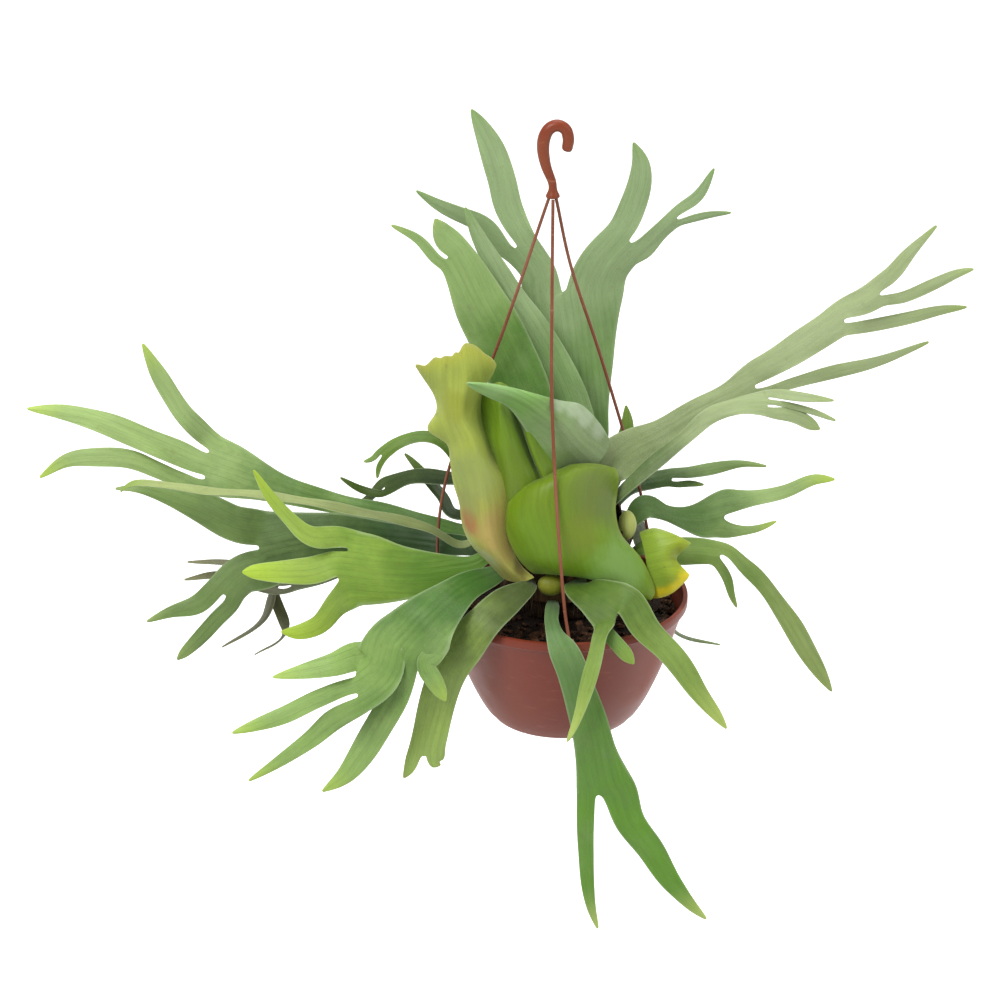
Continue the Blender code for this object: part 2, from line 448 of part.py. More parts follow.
def turned(profile, segments):
    """A bmesh turned round the Z axis from a closed (radius, height) outline."""
    bm = bmesh.new()
    verts = [bm.verts.new((radius, 0.0, height)) for radius, height in profile]
    edges = [bm.edges.new((verts[i - 1], verts[i])) for i in range(len(verts))]
    bmesh.ops.spin(bm, geom=verts + edges, cent=(0, 0, 0), axis=(0, 0, 1),
                   angle=math.tau, steps=segments, use_merge=True)
    bmesh.ops.remove_doubles(bm, verts=bm.verts[:], dist=1e-6)
    return bm


# ---------------------------------------------------------------- curves and tubes

def smooth_path(points, start_direction=None, step=16):
    """Sample a smooth curve through points of any length, closely and in order."""
    tangents = []
    for i, point in enumerate(points):
        before = points[max(i - 1, 0)]
        after = points[min(i + 1, len(points) - 1)]
        tangents.append((after - before) * (0.5 if 0 < i < len(points) - 1 else 1.0))
    if start_direction is not None:
        reach = (points[1] - points[0]).to_3d().length
        tangents[0] = Vector((*(start_direction * reach), tangents[0][3]))
    samples = []
    for i in range(len(points) - 1):
        for k in range(step):
            t = k / step
            samples.append(points[i] * (2 * t**3 - 3 * t**2 + 1)
                           + tangents[i] * (t**3 - 2 * t**2 + t)
                           + points[i + 1] * (3 * t**2 - 2 * t**3)
                           + tangents[i + 1] * (t**3 - t**2))
    samples.append(points[-1].copy())
    return samples


def evenly(samples, count):
    """Pick count + 1 places along a sampled path at equal distances."""
    lengths = [0.0]
    for a, b in zip(samples, samples[1:]):
        lengths.append(lengths[-1] + (b - a).to_3d().length)
    picked = []
    k = 0
    for i in range(count + 1):
        target = lengths[-1] * i / count
        while k < len(samples) - 2 and lengths[k + 1] < target:
            k += 1
        span = max(lengths[k + 1] - lengths[k], 1e-12)
        picked.append(samples[k].lerp(samples[k + 1], min((target - lengths[k]) / span, 1.0)))
    return picked, lengths[-1]


def tube(points, sides):
    """A closed round bar along (x, y, z, radius) points, in metres."""
    bm = bmesh.new()
    rings = []
    across = None
    for i, point in enumerate(points):
        ahead = points[min(i + 1, len(points) - 1)].to_3d()
        behind = points[max(i - 1, 0)].to_3d()
        along = (ahead - behind).normalized()
        if across is None:
            across = along.orthogonal().normalized()
        across = (across - along * across.dot(along)).normalized()
        other = along.cross(across)
        ring = []
        for k in range(sides):
            angle = math.tau * k / sides
            offset = across * math.cos(angle) + other * math.sin(angle)
            ring.append(bm.verts.new(point.to_3d() + offset * point[3]))
        rings.append(ring)
    for low, high in zip(rings, rings[1:]):
        for k in range(sides):
            bm.faces.new((low[k - 1], low[k], high[k], high[k - 1]))
    bm.faces.new(rings[0])
    bm.faces.new(rings[-1])
    return bm


# ---------------------------------------------------------------- pot and hanger

def make_pot():
    """The bowl: outer wall, lip, inner wall, raised foot ring and drain holes."""
    lip = [(RIM_RADIUS - RIM_ROUND, 0.0), (RIM_RADIUS, -RIM_ROUND), (RIM_RADIUS, -LIP_HEIGHT),
           (RIM_RADIUS - LIP_STEP, -LIP_HEIGHT - 0.0015)]
    wall = [*POT_OUTSIDE, (FOOT_RADIUS + 0.0012, -POT_HEIGHT + 0.0016)]
    foot = [(FOOT_RADIUS, -POT_HEIGHT), (FOOT_RADIUS - FOOT_WIDTH, -POT_HEIGHT),
            (FOOT_RADIUS - FOOT_WIDTH - 0.001, -POT_HEIGHT + FOOT_HEIGHT),
            (0.0, -POT_HEIGHT + FOOT_HEIGHT)]
    inner = [(0.0, FLOOR)]
    inner += [(radius - POT_WALL, height + POT_WALL * 0.6) for radius, height in reversed(wall)]
    inner += [(LIP_INNER, -0.004), (LIP_INNER, -RIM_ROUND), (LIP_INNER + RIM_ROUND, 0.0)]
    pot = add_object("pot", turned(lip + wall + foot + inner, 40), TERRACOTTA, 0.45)
    pot.location = (POT_X, 0.0, RIM_Z)
    for i in range(DRAIN_HOLES):
        angle = math.tau * (i + 0.5) / DRAIN_HOLES
        bm = bmesh.new()
        bmesh.ops.create_cone(bm, cap_ends=True, segments=12, radius1=DRAIN_RADIUS,
                              radius2=DRAIN_RADIUS, depth=0.02)
        cutter = add_object(f"drain_cutter_{i}", bm, TERRACOTTA)
        cutter.location = (POT_X + DRAIN_RING * math.cos(angle), DRAIN_RING * math.sin(angle),
                           RIM_Z - POT_HEIGHT)
        boolean(pot, cutter, "DIFFERENCE")


def soil_radius(height):
    """Radius of the potting mix at a height below the rim, just inside the pot's wall."""
    wall = [(RIM_RADIUS - LIP_STEP + 0.001, 0.0), *POT_OUTSIDE, (FOOT_RADIUS, -POT_HEIGHT)]
    for (wide, high), (narrow, low) in zip(wall, wall[1:]):
        if height >= low:
            blend = (high - height) / (high - low)
            return wide + (narrow - wide) * blend - POT_WALL - SOIL_GAP
    return FOOT_RADIUS - POT_WALL - SOIL_GAP


def make_potting_mix():
    """Bark and peat filling the pot, flat under the mound and lumpy round it."""
    floor = FLOOR + FIT
    profile = [(0.0, -SOIL_DEPTH), (MOUND_WIDTH / 2 + 0.003, -SOIL_DEPTH)]
    profile += [(radius, -SOIL_DEPTH) for radius in (0.055, 0.064, 0.072)]
    profile += [(soil_radius(height) - 0.0012, height)
                for height in (-SOIL_DEPTH - 0.0012, -0.030, -0.053, -0.072, -0.079)]
    profile += [(FOOT_RADIUS - 0.0045, floor), (0.0, floor)]
    bm = turned(profile, 36)
    for vert in bm.verts:
        reach = math.hypot(vert.co.x, vert.co.y)
        if reach > 0.05 and vert.co.z > -SOIL_DEPTH - 0.0005:
            angle = math.atan2(vert.co.y, vert.co.x)
            vert.co.z += SOIL_RELIEF * math.sin(7 * angle + 190 * reach) * math.cos(11 * angle)
    soil = add_object("potting_mix", bm, (0.030, 0.020, 0.014), 0.95)
    soil.location = (POT_X, 0.0, RIM_Z)


def make_mound():
    """Rhizome and old shields: a blunt dome, wider than deep, with a flat foot."""
    foot = RIM_Z - SOIL_DEPTH + FIT - CROWN.z
    shape = [(0.0, foot), (0.82, foot), (0.90, -0.034), (0.97, -0.021), (1.0, -0.004),
             (0.98, 0.012), (0.89, 0.027), (0.70, 0.040), (0.42, 0.049), (0.0, MOUND_TOP)]
    bm = turned([(radius * MOUND_WIDTH / 2, height) for radius, height in shape], 28)
    for vert in bm.verts:
        vert.co.y *= MOUND_DEPTH / MOUND_WIDTH
    mound = add_object("root_mound", bm, (0.16, 0.10, 0.055), 0.9)
    mound.location = CROWN + Vector((0.0, MOUND_SHIFT, 0.0))
    return mound


def make_hook():
    """The hook: a question mark of round bar on a neck that ends in a small yoke."""
    points = [Vector((x * CM, 0.0, z * CM, radius * CM)) for x, z, radius in HOOK_LINE]
    rows, _ = evenly(smooth_path(points), 22)
    end = rows[-1].copy()
    end.xyz += Vector((-0.0006, 0.0, -0.0022))
    end.w *= 0.55
    hook = add_object("hanger_hook", tube(rows + [end], 14), TERRACOTTA, 0.4)
    yoke = bmesh.new()
    bmesh.ops.create_cone(yoke, cap_ends=True, segments=20, radius1=YOKE_RADIUS,
                          radius2=NECK_RADIUS, depth=YOKE_TOP - YOKE_BOTTOM + 0.002)
    part = add_object("hook_yoke_guide", yoke, TERRACOTTA)
    part.location = (NECK_X, 0.0, (YOKE_TOP + YOKE_BOTTOM + 0.002) / 2)
    boolean(hook, part, "UNION")


def clip_outline():
    """The clip's section as (distance past the lip's face, height above the rim)."""
    inner = LIP_INNER - RIM_RADIUS - FIT
    under = -LIP_HEIGHT - 0.0015 - FIT
    return [(inner - CLIP_THICK, -CLIP_LEG), (inner, -CLIP_LEG), (inner, FIT), (FIT, FIT),
            (FIT, under + 0.0010), (-0.0017, under - 0.0002), (-0.0017, under - CLIP_THICK),
            (FIT + CLIP_THICK, under - CLIP_THICK), (FIT + CLIP_THICK, FIT + CLIP_THICK),
            (inner - CLIP_THICK, FIT + CLIP_THICK)]


def make_strand(side, clip_angle, path):
    """One strand: a thin bar from the yoke to the rim, joined to the clip over the lip."""
    angle = math.radians(clip_angle)
    outward = Vector((math.cos(angle), math.sin(angle), 0.0))
    across = Vector((-outward.y, outward.x, 0.0))
    rim = Vector((POT_X, 0.0, RIM_Z))
    bm = bmesh.new()
    ends = []
    for half in (-CLIP_WIDTH / 2, CLIP_WIDTH / 2):
        ends.append([bm.verts.new(rim + outward * (RIM_RADIUS + reach) + across * half
                                  + Vector((0.0, 0.0, height))) for reach, height in clip_outline()])
    count = len(ends[0])
    for i in range(count):
        bm.faces.new((ends[0][i - 1], ends[0][i], ends[1][i], ends[1][i - 1]))
    bm.faces.new(ends[0])
    bm.faces.new(ends[1])
    clip = add_object(f"strand_clip_guide_{side}", bm, TERRACOTTA)

    top = Vector((NECK_X, 0.0, YOKE_BOTTOM - YOKE_GAP)) + outward * STRAND_RING
    foot = rim + outward * (RIM_RADIUS - 0.0015) + Vector((0.0, 0.0, 0.0010))
    route = [top] + [CROWN + Vector(point) * CM for point in path] + [foot]
    points = [Vector((*point, STRAND_RADIUS)) for point in route]
    rows, _ = evenly(smooth_path(points), 22)
    strand = add_object(f"hanger_strand_{side}", tube(rows, 8), TERRACOTTA, 0.4)
    boolean(strand, clip, "UNION")


# ---------------------------------------------------------------- leaves

@dataclass
class Row:
    """A line of points across a blade, with the frame that the next strap starts from."""

    indices: list
    places: list                  # each point's place across the strap, from -1 to 1
    centre: Vector
    along: Vector
    side: Vector
    half: float
    curl: float


class Blade:
    """Collects a forked blade's middle surface and turns it into a closed solid."""

    def __init__(self, curl):
        self.curl = curl
        self.points = []
        self.normals = []
        self.halves = []          # half thickness at each point
        self.faces = []

    def add_row(self, centre, along, side, half, curl, places, travelled, bow=None):
        """Lay one row of points along an arc across the blade, bowed forward by bow."""
        normal = along.cross(side).normalized()
        turn = math.radians(max(curl, 0.5))
        radius = half / math.sin(min(turn, math.pi / 2))
        thick = BLADE_THICK + (STALK_THICK - BLADE_THICK) * max(0.0, 1 - travelled / STALK_LENGTH)
        indices = []
        for i, place in enumerate(places):
            angle = place * turn
            indices.append(len(self.points))
            forward = bow[i] * half if bow else 0.0
            self.points.append(centre + side * (radius * math.sin(angle)) + along * forward
                               - normal * (radius * (1 - math.cos(angle))))
            self.normals.append(normal * math.cos(angle) + side * math.sin(angle))
            self.halves.append(thick / 2 * (1 - 0.25 * place * place))
        return Row(indices, places, centre, along, side, half, curl)

    def join(self, low, high):
        """Fill the strip between two rows with triangles."""
        for i in range(len(low.indices) - 1):
            a, b = low.indices[i], low.indices[i + 1]
            c, d = high.indices[i], high.indices[i + 1]
            if i < (len(low.indices) - 1) / 2:
                self.faces += [(a, b, d), (a, d, c)]
            else:
                self.faces += [(a, b, c), (b, d, c)]

    def solid(self):
        """Thicken the middle surface to both sides and close its edge."""
        bm = bmesh.new()
        top = [bm.verts.new(p + n * h) for p, n, h in zip(self.points, self.normals, self.halves)]
        low = [bm.verts.new(p - n * h) for p, n, h in zip(self.points, self.normals, self.halves)]
        edges = {}
        for face in self.faces:
            bm.faces.new([top[i] for i in face])
            bm.faces.new([low[i] for i in reversed(face)])
            for i in range(3):
                pair = (face[i], face[(i + 1) % 3])
                edges[pair] = edges.get(pair, 0) + 1
        for a, b in edges:
            if (b, a) not in edges:
                bm.faces.new((top[b], top[a], low[a]))
                bm.faces.new((top[b], low[a], low[b]))
        return bm


def columns(part):
    """Columns of faces that a strap needs, so that each lobe can take its share at the fork."""
    if part.lobes:
        return sum(columns(lobe) for lobe in part.lobes) + len(part.lobes) - 1
    widest = max(point[3] for point in part.path)
    return next(count for limit, count in COLUMNS if widest < limit)


def lobe_shares(ordered, half):
    """Each lobe's (start, end) across the fork, from -1 to 1, with a sinus between two."""
    sinus = min(SINUS, half * 0.4) / half
    widths = [lobe.path[0][3] for lobe in ordered]
    free = 2.0 - sinus * (len(ordered) - 1)
    shares = []
    start = -1.0
    for width in widths:
        end = start + free * width / sum(widths)
        shares.append((start, end))
        start = end + sinus
    return shares


def fork_places(ordered, half):
    """Where the points of a fork's row lie across it."""
    places = []
    for lobe, (start, end) in zip(ordered, lobe_shares(ordered, half)):
        count = columns(lobe)
        places += [start + (end - start) * i / count for i in range(count + 1)]
    return places


def fork_bow(part, ordered, places, along, side):
    """How far each point of a fork's row stands forward, so that each lobe leaves squarely."""
    end = Vector(part.path[-1][:3])
    slopes = []
    for i, lobe in enumerate(ordered):
        reach = Vector(lobe.path[0][:3]) - end
        lean = math.atan2(reach.dot(side), max(reach.dot(along), 0.2 * reach.length))
        slopes += [math.tan(lean * FAN)] * columns(lobe)
        if i < len(ordered) - 1:
            slopes.append(None)
    for i, slope in enumerate(slopes):
        if slope is None:
            slopes[i] = (slopes[i - 1] + slopes[i + 1]) / 2
    bow = [0.0]
    for i, slope in enumerate(slopes):
        bow.append(bow[-1] - slope * (places[i + 1] - places[i]))
    middle = sum(bow) / len(bow)
    return [value - middle for value in bow]


def order_lobes(part, side):
    """The lobes in their order across the blade."""
    end = Vector(part.path[-1][:3])

    def across(lobe):
        direction = Vector(lobe.path[0][:3]) - end
        return direction.normalized().dot(side)

    return sorted(part.lobes, key=across)


def lay_strap(blade, part, first, travelled, face):
    """Lay a strap's rows from its first row on, then its lobes."""
    controls = [Vector((*first.centre, first.half))]
    controls += [Vector((*(CROWN + Vector(p[:3]) * CM), p[3] * CM)) for p in part.path]
    reach = sum((b - a).to_3d().length for a, b in zip(controls, controls[1:]))
    rows, length = evenly(smooth_path(controls, first.along), max(2, round(reach / ROW)))
    end_face = Vector(part.face).normalized() if part.face else face
    ordered, end_places, bow = [], first.places, None
    previous = first
    for i in range(1, len(rows)):
        here, blend = rows[i], i / (len(rows) - 1)
        after = rows[min(i + 1, len(rows) - 1)]
        along = (after - rows[i - 1]).to_3d().normalized()
        looks = face.lerp(end_face, blend)
        side = looks.cross(along).normalized()
        side = first.side.lerp(side, min(1.0, blend * 2.5)).normalized()
        side = (side - along * side.dot(along)).normalized()
        if i == 1:
            ordered = order_lobes(part, side)
            if ordered:
                end_places = fork_places(ordered, controls[-1].w)
                last = (rows[-1] - rows[-2]).to_3d().normalized()
                bow = fork_bow(part, ordered, end_places, last, side)
        half = max(here.w, 0.0009)
        if not ordered and i == len(rows) - 1:
            half = min(half, 0.0012)
        places = [a + (b - a) * blend for a, b in zip(first.places, end_places)]
        curl = first.curl + (blade.curl - first.curl) * blend
        lean = [value * blend ** 3 for value in bow] if bow else None
        row = blade.add_row(here.to_3d(), along, side, half, curl, places,
                            travelled + length * blend, lean)
        blade.join(previous, row)
        previous = row
    if not ordered:
        return
    start = 0
    for lobe in ordered:
        count = columns(lobe) + 1
        picked = previous.indices[start:start + count]
        start += count
        left, right = blade.points[picked[0]], blade.points[picked[-1]]
        middle = blade.points[picked[count // 2]]
        if count % 2 == 0:
            middle = (middle + blade.points[picked[count // 2 - 1]]) / 2
        half = (right - left).length / 2
        share = [2 * i / (count - 1) - 1 for i in range(count)]
        curl = blade.normals[picked[0]].angle(blade.normals[picked[-1]]) / 2
        normal = sum((blade.normals[i] for i in picked), Vector()).normalized()
        side = (right - left).normalized()
        row = Row(picked, share, middle, side.cross(normal).normalized(), side, half,
                  math.degrees(curl))
        lay_strap(blade, lobe, row, travelled + length, normal)


def seat_on(tree, point):
    """The nearest point of the mound's surface, and the way out of it there."""
    place = tree.find_nearest(CROWN + Vector(point) * CM)[0]
    offset = place - CROWN - Vector((0.0, MOUND_SHIFT, 0.0))
    normal = Vector((offset.x / (MOUND_WIDTH / 2) ** 2, offset.y / (MOUND_DEPTH / 2) ** 2,
                     max(offset.z, 0.0) / MOUND_TOP ** 2))
    return place, normal.normalized()


def make_leaf(name, leaf, tree, shield):
    """A frond or a shield frond, from its seat on the mound to its tips."""
    place, normal = seat_on(tree, leaf.seat)
    face = Vector(leaf.face)
    face = (face - normal * face.dot(normal)).normalized()
    side = face.cross(normal).normalized()
    blade = Blade(SHIELD_CURL if shield else FROND_CURL)
    half = SHIELD_HALF if shield else PETIOLE_HALF
    count = columns(leaf.blade)
    places = [2 * i / count - 1 for i in range(count + 1)]
    first = blade.add_row(place + normal * SEAT_GAP, normal, side, half, 2.0, places, 0.0)
    lay_strap(blade, leaf.blade, first, 0.0, face)
    add_object(name, blade.solid(), LEAF_COLOURS.get(name, GREEN))


def make_bud(name, seat, radii, tree):
    """A closed bud: a small egg standing on the mound."""
    place, normal = seat_on(tree, seat)
    bm = bmesh.new()
    bmesh.ops.create_uvsphere(bm, u_segments=14, v_segments=9, radius=1.0)
    reach = math.hypot(*(n * r for n, r in zip(normal, radii))) * CM
    for vert in bm.verts:
        vert.co = Vector(c * r * CM for c, r in zip(vert.co, radii))
    bud = add_object(name, bm, (0.36, 0.40, 0.10))
    bud.location = place + normal * (reach + BUD_GAP)


def build():
    clear_scene()
    make_pot()
    make_potting_mix()
    mound = make_mound()
    make_hook()
    for side, (angle, path) in STRANDS.items():
        make_strand(side, angle, path)
    bpy.context.view_layer.update()
    bm = bmesh.new()
    bm.from_mesh(mound.data)
    bm.transform(mound.matrix_world)
    tree = BVHTree.FromBMesh(bm)
    bm.free()
    for name, leaf in LEAVES.items():
        make_leaf(name, leaf, tree, name.startswith("shield"))
    for name, (seat, radii) in BUDS.items():
        make_bud(name, seat, radii, tree)


build()
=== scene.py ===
"""Looks of a staghorn fern in its hanging pot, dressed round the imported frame.

Each leaf of the frame is replaced by a finer blade, with waved edges, net veins, felt and dry
edges. Most grow out along the same middle line as in the frame, and those in the middle are draped
over a grid of points. The pot, its hanger, the potting mix and the root mound are modelled again
at full detail. Sizes are in metres. Leaves are drawn in centimetres about the crown, the point
above the middle of the pot's rim that they spread from.
"""

import logging
import math
import random
import re
from collections.abc import Iterator, Sequence
from contextlib import contextmanager
from dataclasses import dataclass, field
from enum import Enum

import bmesh
import bpy
from mathutils import Matrix, Vector, noise
from mathutils.bvhtree import BVHTree


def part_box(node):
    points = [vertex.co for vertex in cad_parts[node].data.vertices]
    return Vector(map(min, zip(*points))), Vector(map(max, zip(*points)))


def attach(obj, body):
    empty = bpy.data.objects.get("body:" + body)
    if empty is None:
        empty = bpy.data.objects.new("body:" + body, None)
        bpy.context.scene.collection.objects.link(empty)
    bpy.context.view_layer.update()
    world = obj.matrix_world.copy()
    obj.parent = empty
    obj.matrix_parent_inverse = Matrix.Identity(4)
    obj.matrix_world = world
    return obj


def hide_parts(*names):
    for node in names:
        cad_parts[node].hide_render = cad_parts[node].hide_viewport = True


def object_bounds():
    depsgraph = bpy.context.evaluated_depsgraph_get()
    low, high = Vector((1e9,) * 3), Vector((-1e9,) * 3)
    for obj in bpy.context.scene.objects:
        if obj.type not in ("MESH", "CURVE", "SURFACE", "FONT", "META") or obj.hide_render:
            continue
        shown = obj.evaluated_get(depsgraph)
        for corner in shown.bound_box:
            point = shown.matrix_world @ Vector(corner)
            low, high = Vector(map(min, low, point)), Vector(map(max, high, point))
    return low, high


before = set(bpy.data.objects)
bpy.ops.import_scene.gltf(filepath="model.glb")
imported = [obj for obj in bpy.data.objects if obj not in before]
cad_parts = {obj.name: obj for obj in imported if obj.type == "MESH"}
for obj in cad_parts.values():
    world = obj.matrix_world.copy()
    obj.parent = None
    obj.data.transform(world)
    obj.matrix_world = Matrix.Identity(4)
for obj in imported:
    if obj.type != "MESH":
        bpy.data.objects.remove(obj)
CAD_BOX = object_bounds()
LOG = logging.getLogger("staghorn_fern")

Colour = tuple[float, float, float]
Point = tuple[float, float, float]
Material = bpy.types.Material
Node = bpy.types.Node
Piece = bpy.types.Object
Socket = bpy.types.NodeSocket
Sockets = bpy.types.bpy_prop_collection
Tree = bpy.types.NodeTree

CM = 0.01
CROWN_LIFT = 0.030            # from the rim up to the crown
VEIN_SPACING = 0.0042         # between a blade's long veins
ROOT = "root"

POT_LOW, POT_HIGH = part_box("pot")
POT_X = (POT_LOW.x + POT_HIGH.x) / 2
RIM_Z = POT_HIGH.z
RIM_RADIUS = (POT_HIGH.x - POT_LOW.x) / 2
POT_HEIGHT = POT_HIGH.z - POT_LOW.z
CROWN = Vector((POT_X, 0.0, RIM_Z + CROWN_LIFT))

MOUND_LOW, MOUND_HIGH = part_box("root_mound")
MOUND_CENTRE = Vector((*((MOUND_LOW + MOUND_HIGH) / 2).xy, CROWN.z))
MOUND_HALF = Vector((*((MOUND_HIGH - MOUND_LOW) / 2).xy, MOUND_HIGH.z - CROWN.z))


# ---- colours and finishes

def tint(code: str) -> Colour:
    """Turn a colour's hex code into the linear values that shaders take.

    Args:
        code: Two hex digits each for red, green and blue.

    Returns:
        The linear colour.
    """
    red, green, blue = (share / 12.92 if share <= 0.04045 else ((share + 0.055) / 1.055) ** 2.4
                        for share in (int(code[i:i + 2], 16) / 255 for i in (0, 2, 4)))
    return red, green, blue


def darker(colour: Colour, share: float) -> Colour:
    """A colour at this share of its brightness."""
    return colour[0] * share, colour[1] * share, colour[2] * share


@dataclass(frozen=True)
class LeafFinish:
    """The finish of a green blade: its colours, its felt and how strongly its veins show."""

    deep: Colour                  # towards the stalk
    light: Colour                 # towards the lobes
    tip: Colour
    under: Colour
    felt: Colour = tint("aabc92")
    cover: float = 0.45           # share of the upper side under felt
    turn: float = 0.55            # where along the blade deep turns to light
    patchy: float = 0.9           # how far that turn drifts in patches
    tip_reach: float = 0.5        # how far the young tip colour runs back, 0 to 1
    vein: float = 0.35            # how dark the veins are
    gloss: float = 0.46           # roughness where the felt is rubbed off
    fleck: Colour = tint("706832")
    flecks: float = 0.25          # how strongly brown flecks show


def leaf_finish(colours: str, **rest: float | str) -> LeafFinish:
    """Make a leaf's finish from hex codes and the values in which it differs from the usual.

    Args:
        colours: The codes of its deep, light, tip and under colours.
        rest: Its other values by name, with the felt's or the flecks' colour as a code.

    Returns:
        The finish.
    """
    coded = {key: tint(value) if isinstance(value, str) else value for key, value in rest.items()}
    return LeafFinish(*map(tint, colours.split()), **coded)


class Frond(Enum):
    """The finishes that the antler fronds come in; two are darker copies of the green, painted
    shade.
    """

    GREY = leaf_finish("4c7228 9ab46c b6d04a 869660", cover=0.4)
    LOW = leaf_finish("406c22 8eae5c aac654 7e9258", cover=0.35, turn=0.5)
    EDGE = leaf_finish("76824a 96a462 84a432 849058", cover=0.3, turn=0.5)
    # Painted shade: a darker copy of the fronds' green, for fronds that lie in the shade of others.
    SHADE = leaf_finish("224212 708a4a 94aa60 68784c", cover=0.25, tip_reach=0.4)
    TURNED = leaf_finish("4a622c 92a270 92a660 829060", felt="b0bc96", cover=0.4,
                         tip_reach=0.4, vein=0.25, turn=0.35)
    FRESH = leaf_finish("527a1c 90ac44 acc838 8ca050", cover=0.15, tip_reach=0.8, turn=0.45)
    LIME = leaf_finish("466416 84a047 bace68 889a4c", cover=0.2, tip_reach=0.8, turn=0.4)
    GREEN = leaf_finish("385c1c 628838 8ca646 708644", cover=0.3, turn=0.6)
    UPPER = leaf_finish("4c7822 90ae66 a4be68 84985c", cover=0.35, tip_reach=0.4, turn=0.5)
    BLUISH = leaf_finish("5c7c46 5e8e24 bed070 788e4c", cover=0.35, tip_reach=0.6, turn=0.45)
    OLIVE = leaf_finish("44541c 9eba58 969454 849256", cover=0.35, tip_reach=0.3, turn=0.45)
    PALE = leaf_finish("687a42 8e9e6a 88a048 8c9668", felt="b4be9a", cover=0.6, tip_reach=0.35,
                       vein=0.25, turn=0.3)
    FOLD = leaf_finish("7c945a 84b25a 86b85c 5c7048", felt="beccb0", cover=0.5, vein=0.3,
                       turn=0.4)
    BACK = leaf_finish("6c904a 94ac78 88aa60 8e9e70", cover=0.45, tip_reach=0.3, turn=0.4)
    DROOP = leaf_finish("62822e 889c54 96a85c 7e8e50", cover=0.3, tip_reach=0.3, turn=0.4)
    # Painted shade: a much darker copy of the green, for fronds deep in the shade of others.
    DARK = leaf_finish("1e3405 485e1e 6e8442 50642e", cover=0.15, tip_reach=0.4, turn=0.7)
    ARCHED = leaf_finish("38580e 6a8832 88a04e 647a38", cover=0.15, tip_reach=0.4, turn=0.6)
    DUSK = leaf_finish("54683c 747454 807a54 747856", cover=0.3, tip_reach=0.4)


class Shield(Enum):
    """The finishes that the shield fronds and the buds come in; one is a paler copy that paints
    light on a bud in shade.
    """

    TALL = leaf_finish("acaa52 a8b64a bec248 969c4a", felt="bebc7e", cover=0.2, vein=0.3,
                       gloss=0.5, turn=0.4, patchy=1.6, fleck="866c36", flecks=0.5)
    YOUNG = leaf_finish("6c9008 708c18 708624 748a38", felt="96a84a", cover=0.12,
                        tip_reach=0.2, vein=0.12, gloss=0.42)
    INNER = leaf_finish("6c861e 6c8e14 7c981e 546c1e", felt="96a85a", cover=0.1, tip_reach=0.3,
                        vein=0.25, gloss=0.44, turn=0.4)
    SIDE = leaf_finish("90ac3a 90a222 809028 80943c", felt="a6b26e", cover=0.12, tip_reach=0.3,
                       vein=0.2, gloss=0.42)
    BUD = leaf_finish("7c8010 b4ba56 ccd07c 80943c", felt="c4cc96", cover=0.3, tip_reach=0.3,
                      vein=0.15, gloss=0.42)
    # Painted light: a much paler copy of the bud's green, so that the side bud, which sits in
    # shade, looks lit.
    PAINTED_LIGHT_BUD = leaf_finish("c4cc70 dee49e e2e6aa 80943c", felt="e2e6be", cover=0.3, tip_reach=0.3,
                       vein=0.15, gloss=0.42)
    DRY = leaf_finish("503620 8a663c 704c2c 705436", felt="a0845e", cover=0.3, tip_reach=0.2,
                      vein=0.8, gloss=0.7)


@dataclass(frozen=True)
class PlasticFinish:
    """Moulded plastic, with scuffs and a bloom of dust and painted sheen."""

    colour: Colour
    # the bloom's colour, partly dust and partly painted sheen
    bloom: Colour
    edge: Colour                  # of rubbed and scuffed places
    roughness: float              # where it is clean
    wear_and_sheen: float                   # how much dust, painted sheen and scuffing there is


class Plastic(Enum):
    """The plastics of the pot and its hanger, each named as its material."""

    TERRACOTTA_PLASTIC = PlasticFinish(tint("7e3421"), tint("8c4c3a"), tint("98503a"), 0.40, 0.7)
    HOOK_PLASTIC = PlasticFinish(tint("84361a"), tint("985434"), tint("b2704e"), 0.36, 0.55)
    STRAND_PLASTIC = PlasticFinish(tint("84462e"), tint("a06a52"), tint("b48670"), 0.42, 0.8)


@dataclass(frozen=True)
class LitterFinish:
    """Fibrous dead matter: its damp and dry colours and that of the pale crumbs in it."""

    damp: Colour
    dry: Colour
    fleck: Colour
    fineness: float = 1.0         # of its fibres


class Litter(Enum):
    """The kinds of bark, peat, roots and old shields, each named as its material."""

    MIX = LitterFinish(tint("140e0b"), tint("3a281d"), tint("6e543c"))
    BARK = LitterFinish(tint("221610"), tint("704a30"), tint("96704e"))
    PEAT = LitterFinish(tint("18110d"), tint("463224"), tint("786046"), 2.0)
    ROOT_FIBRE = LitterFinish(tint("1a130d"), tint("483624"), tint("7a6446"))
    OLD_SHIELD = LitterFinish(tint("2e2116"), tint("705436"), tint("8c704c"), 0.6)
    ROOT_THREAD = LitterFinish(tint("322418"), tint("765a3c"), tint("9e845e"), 2.0)


# ---- tools

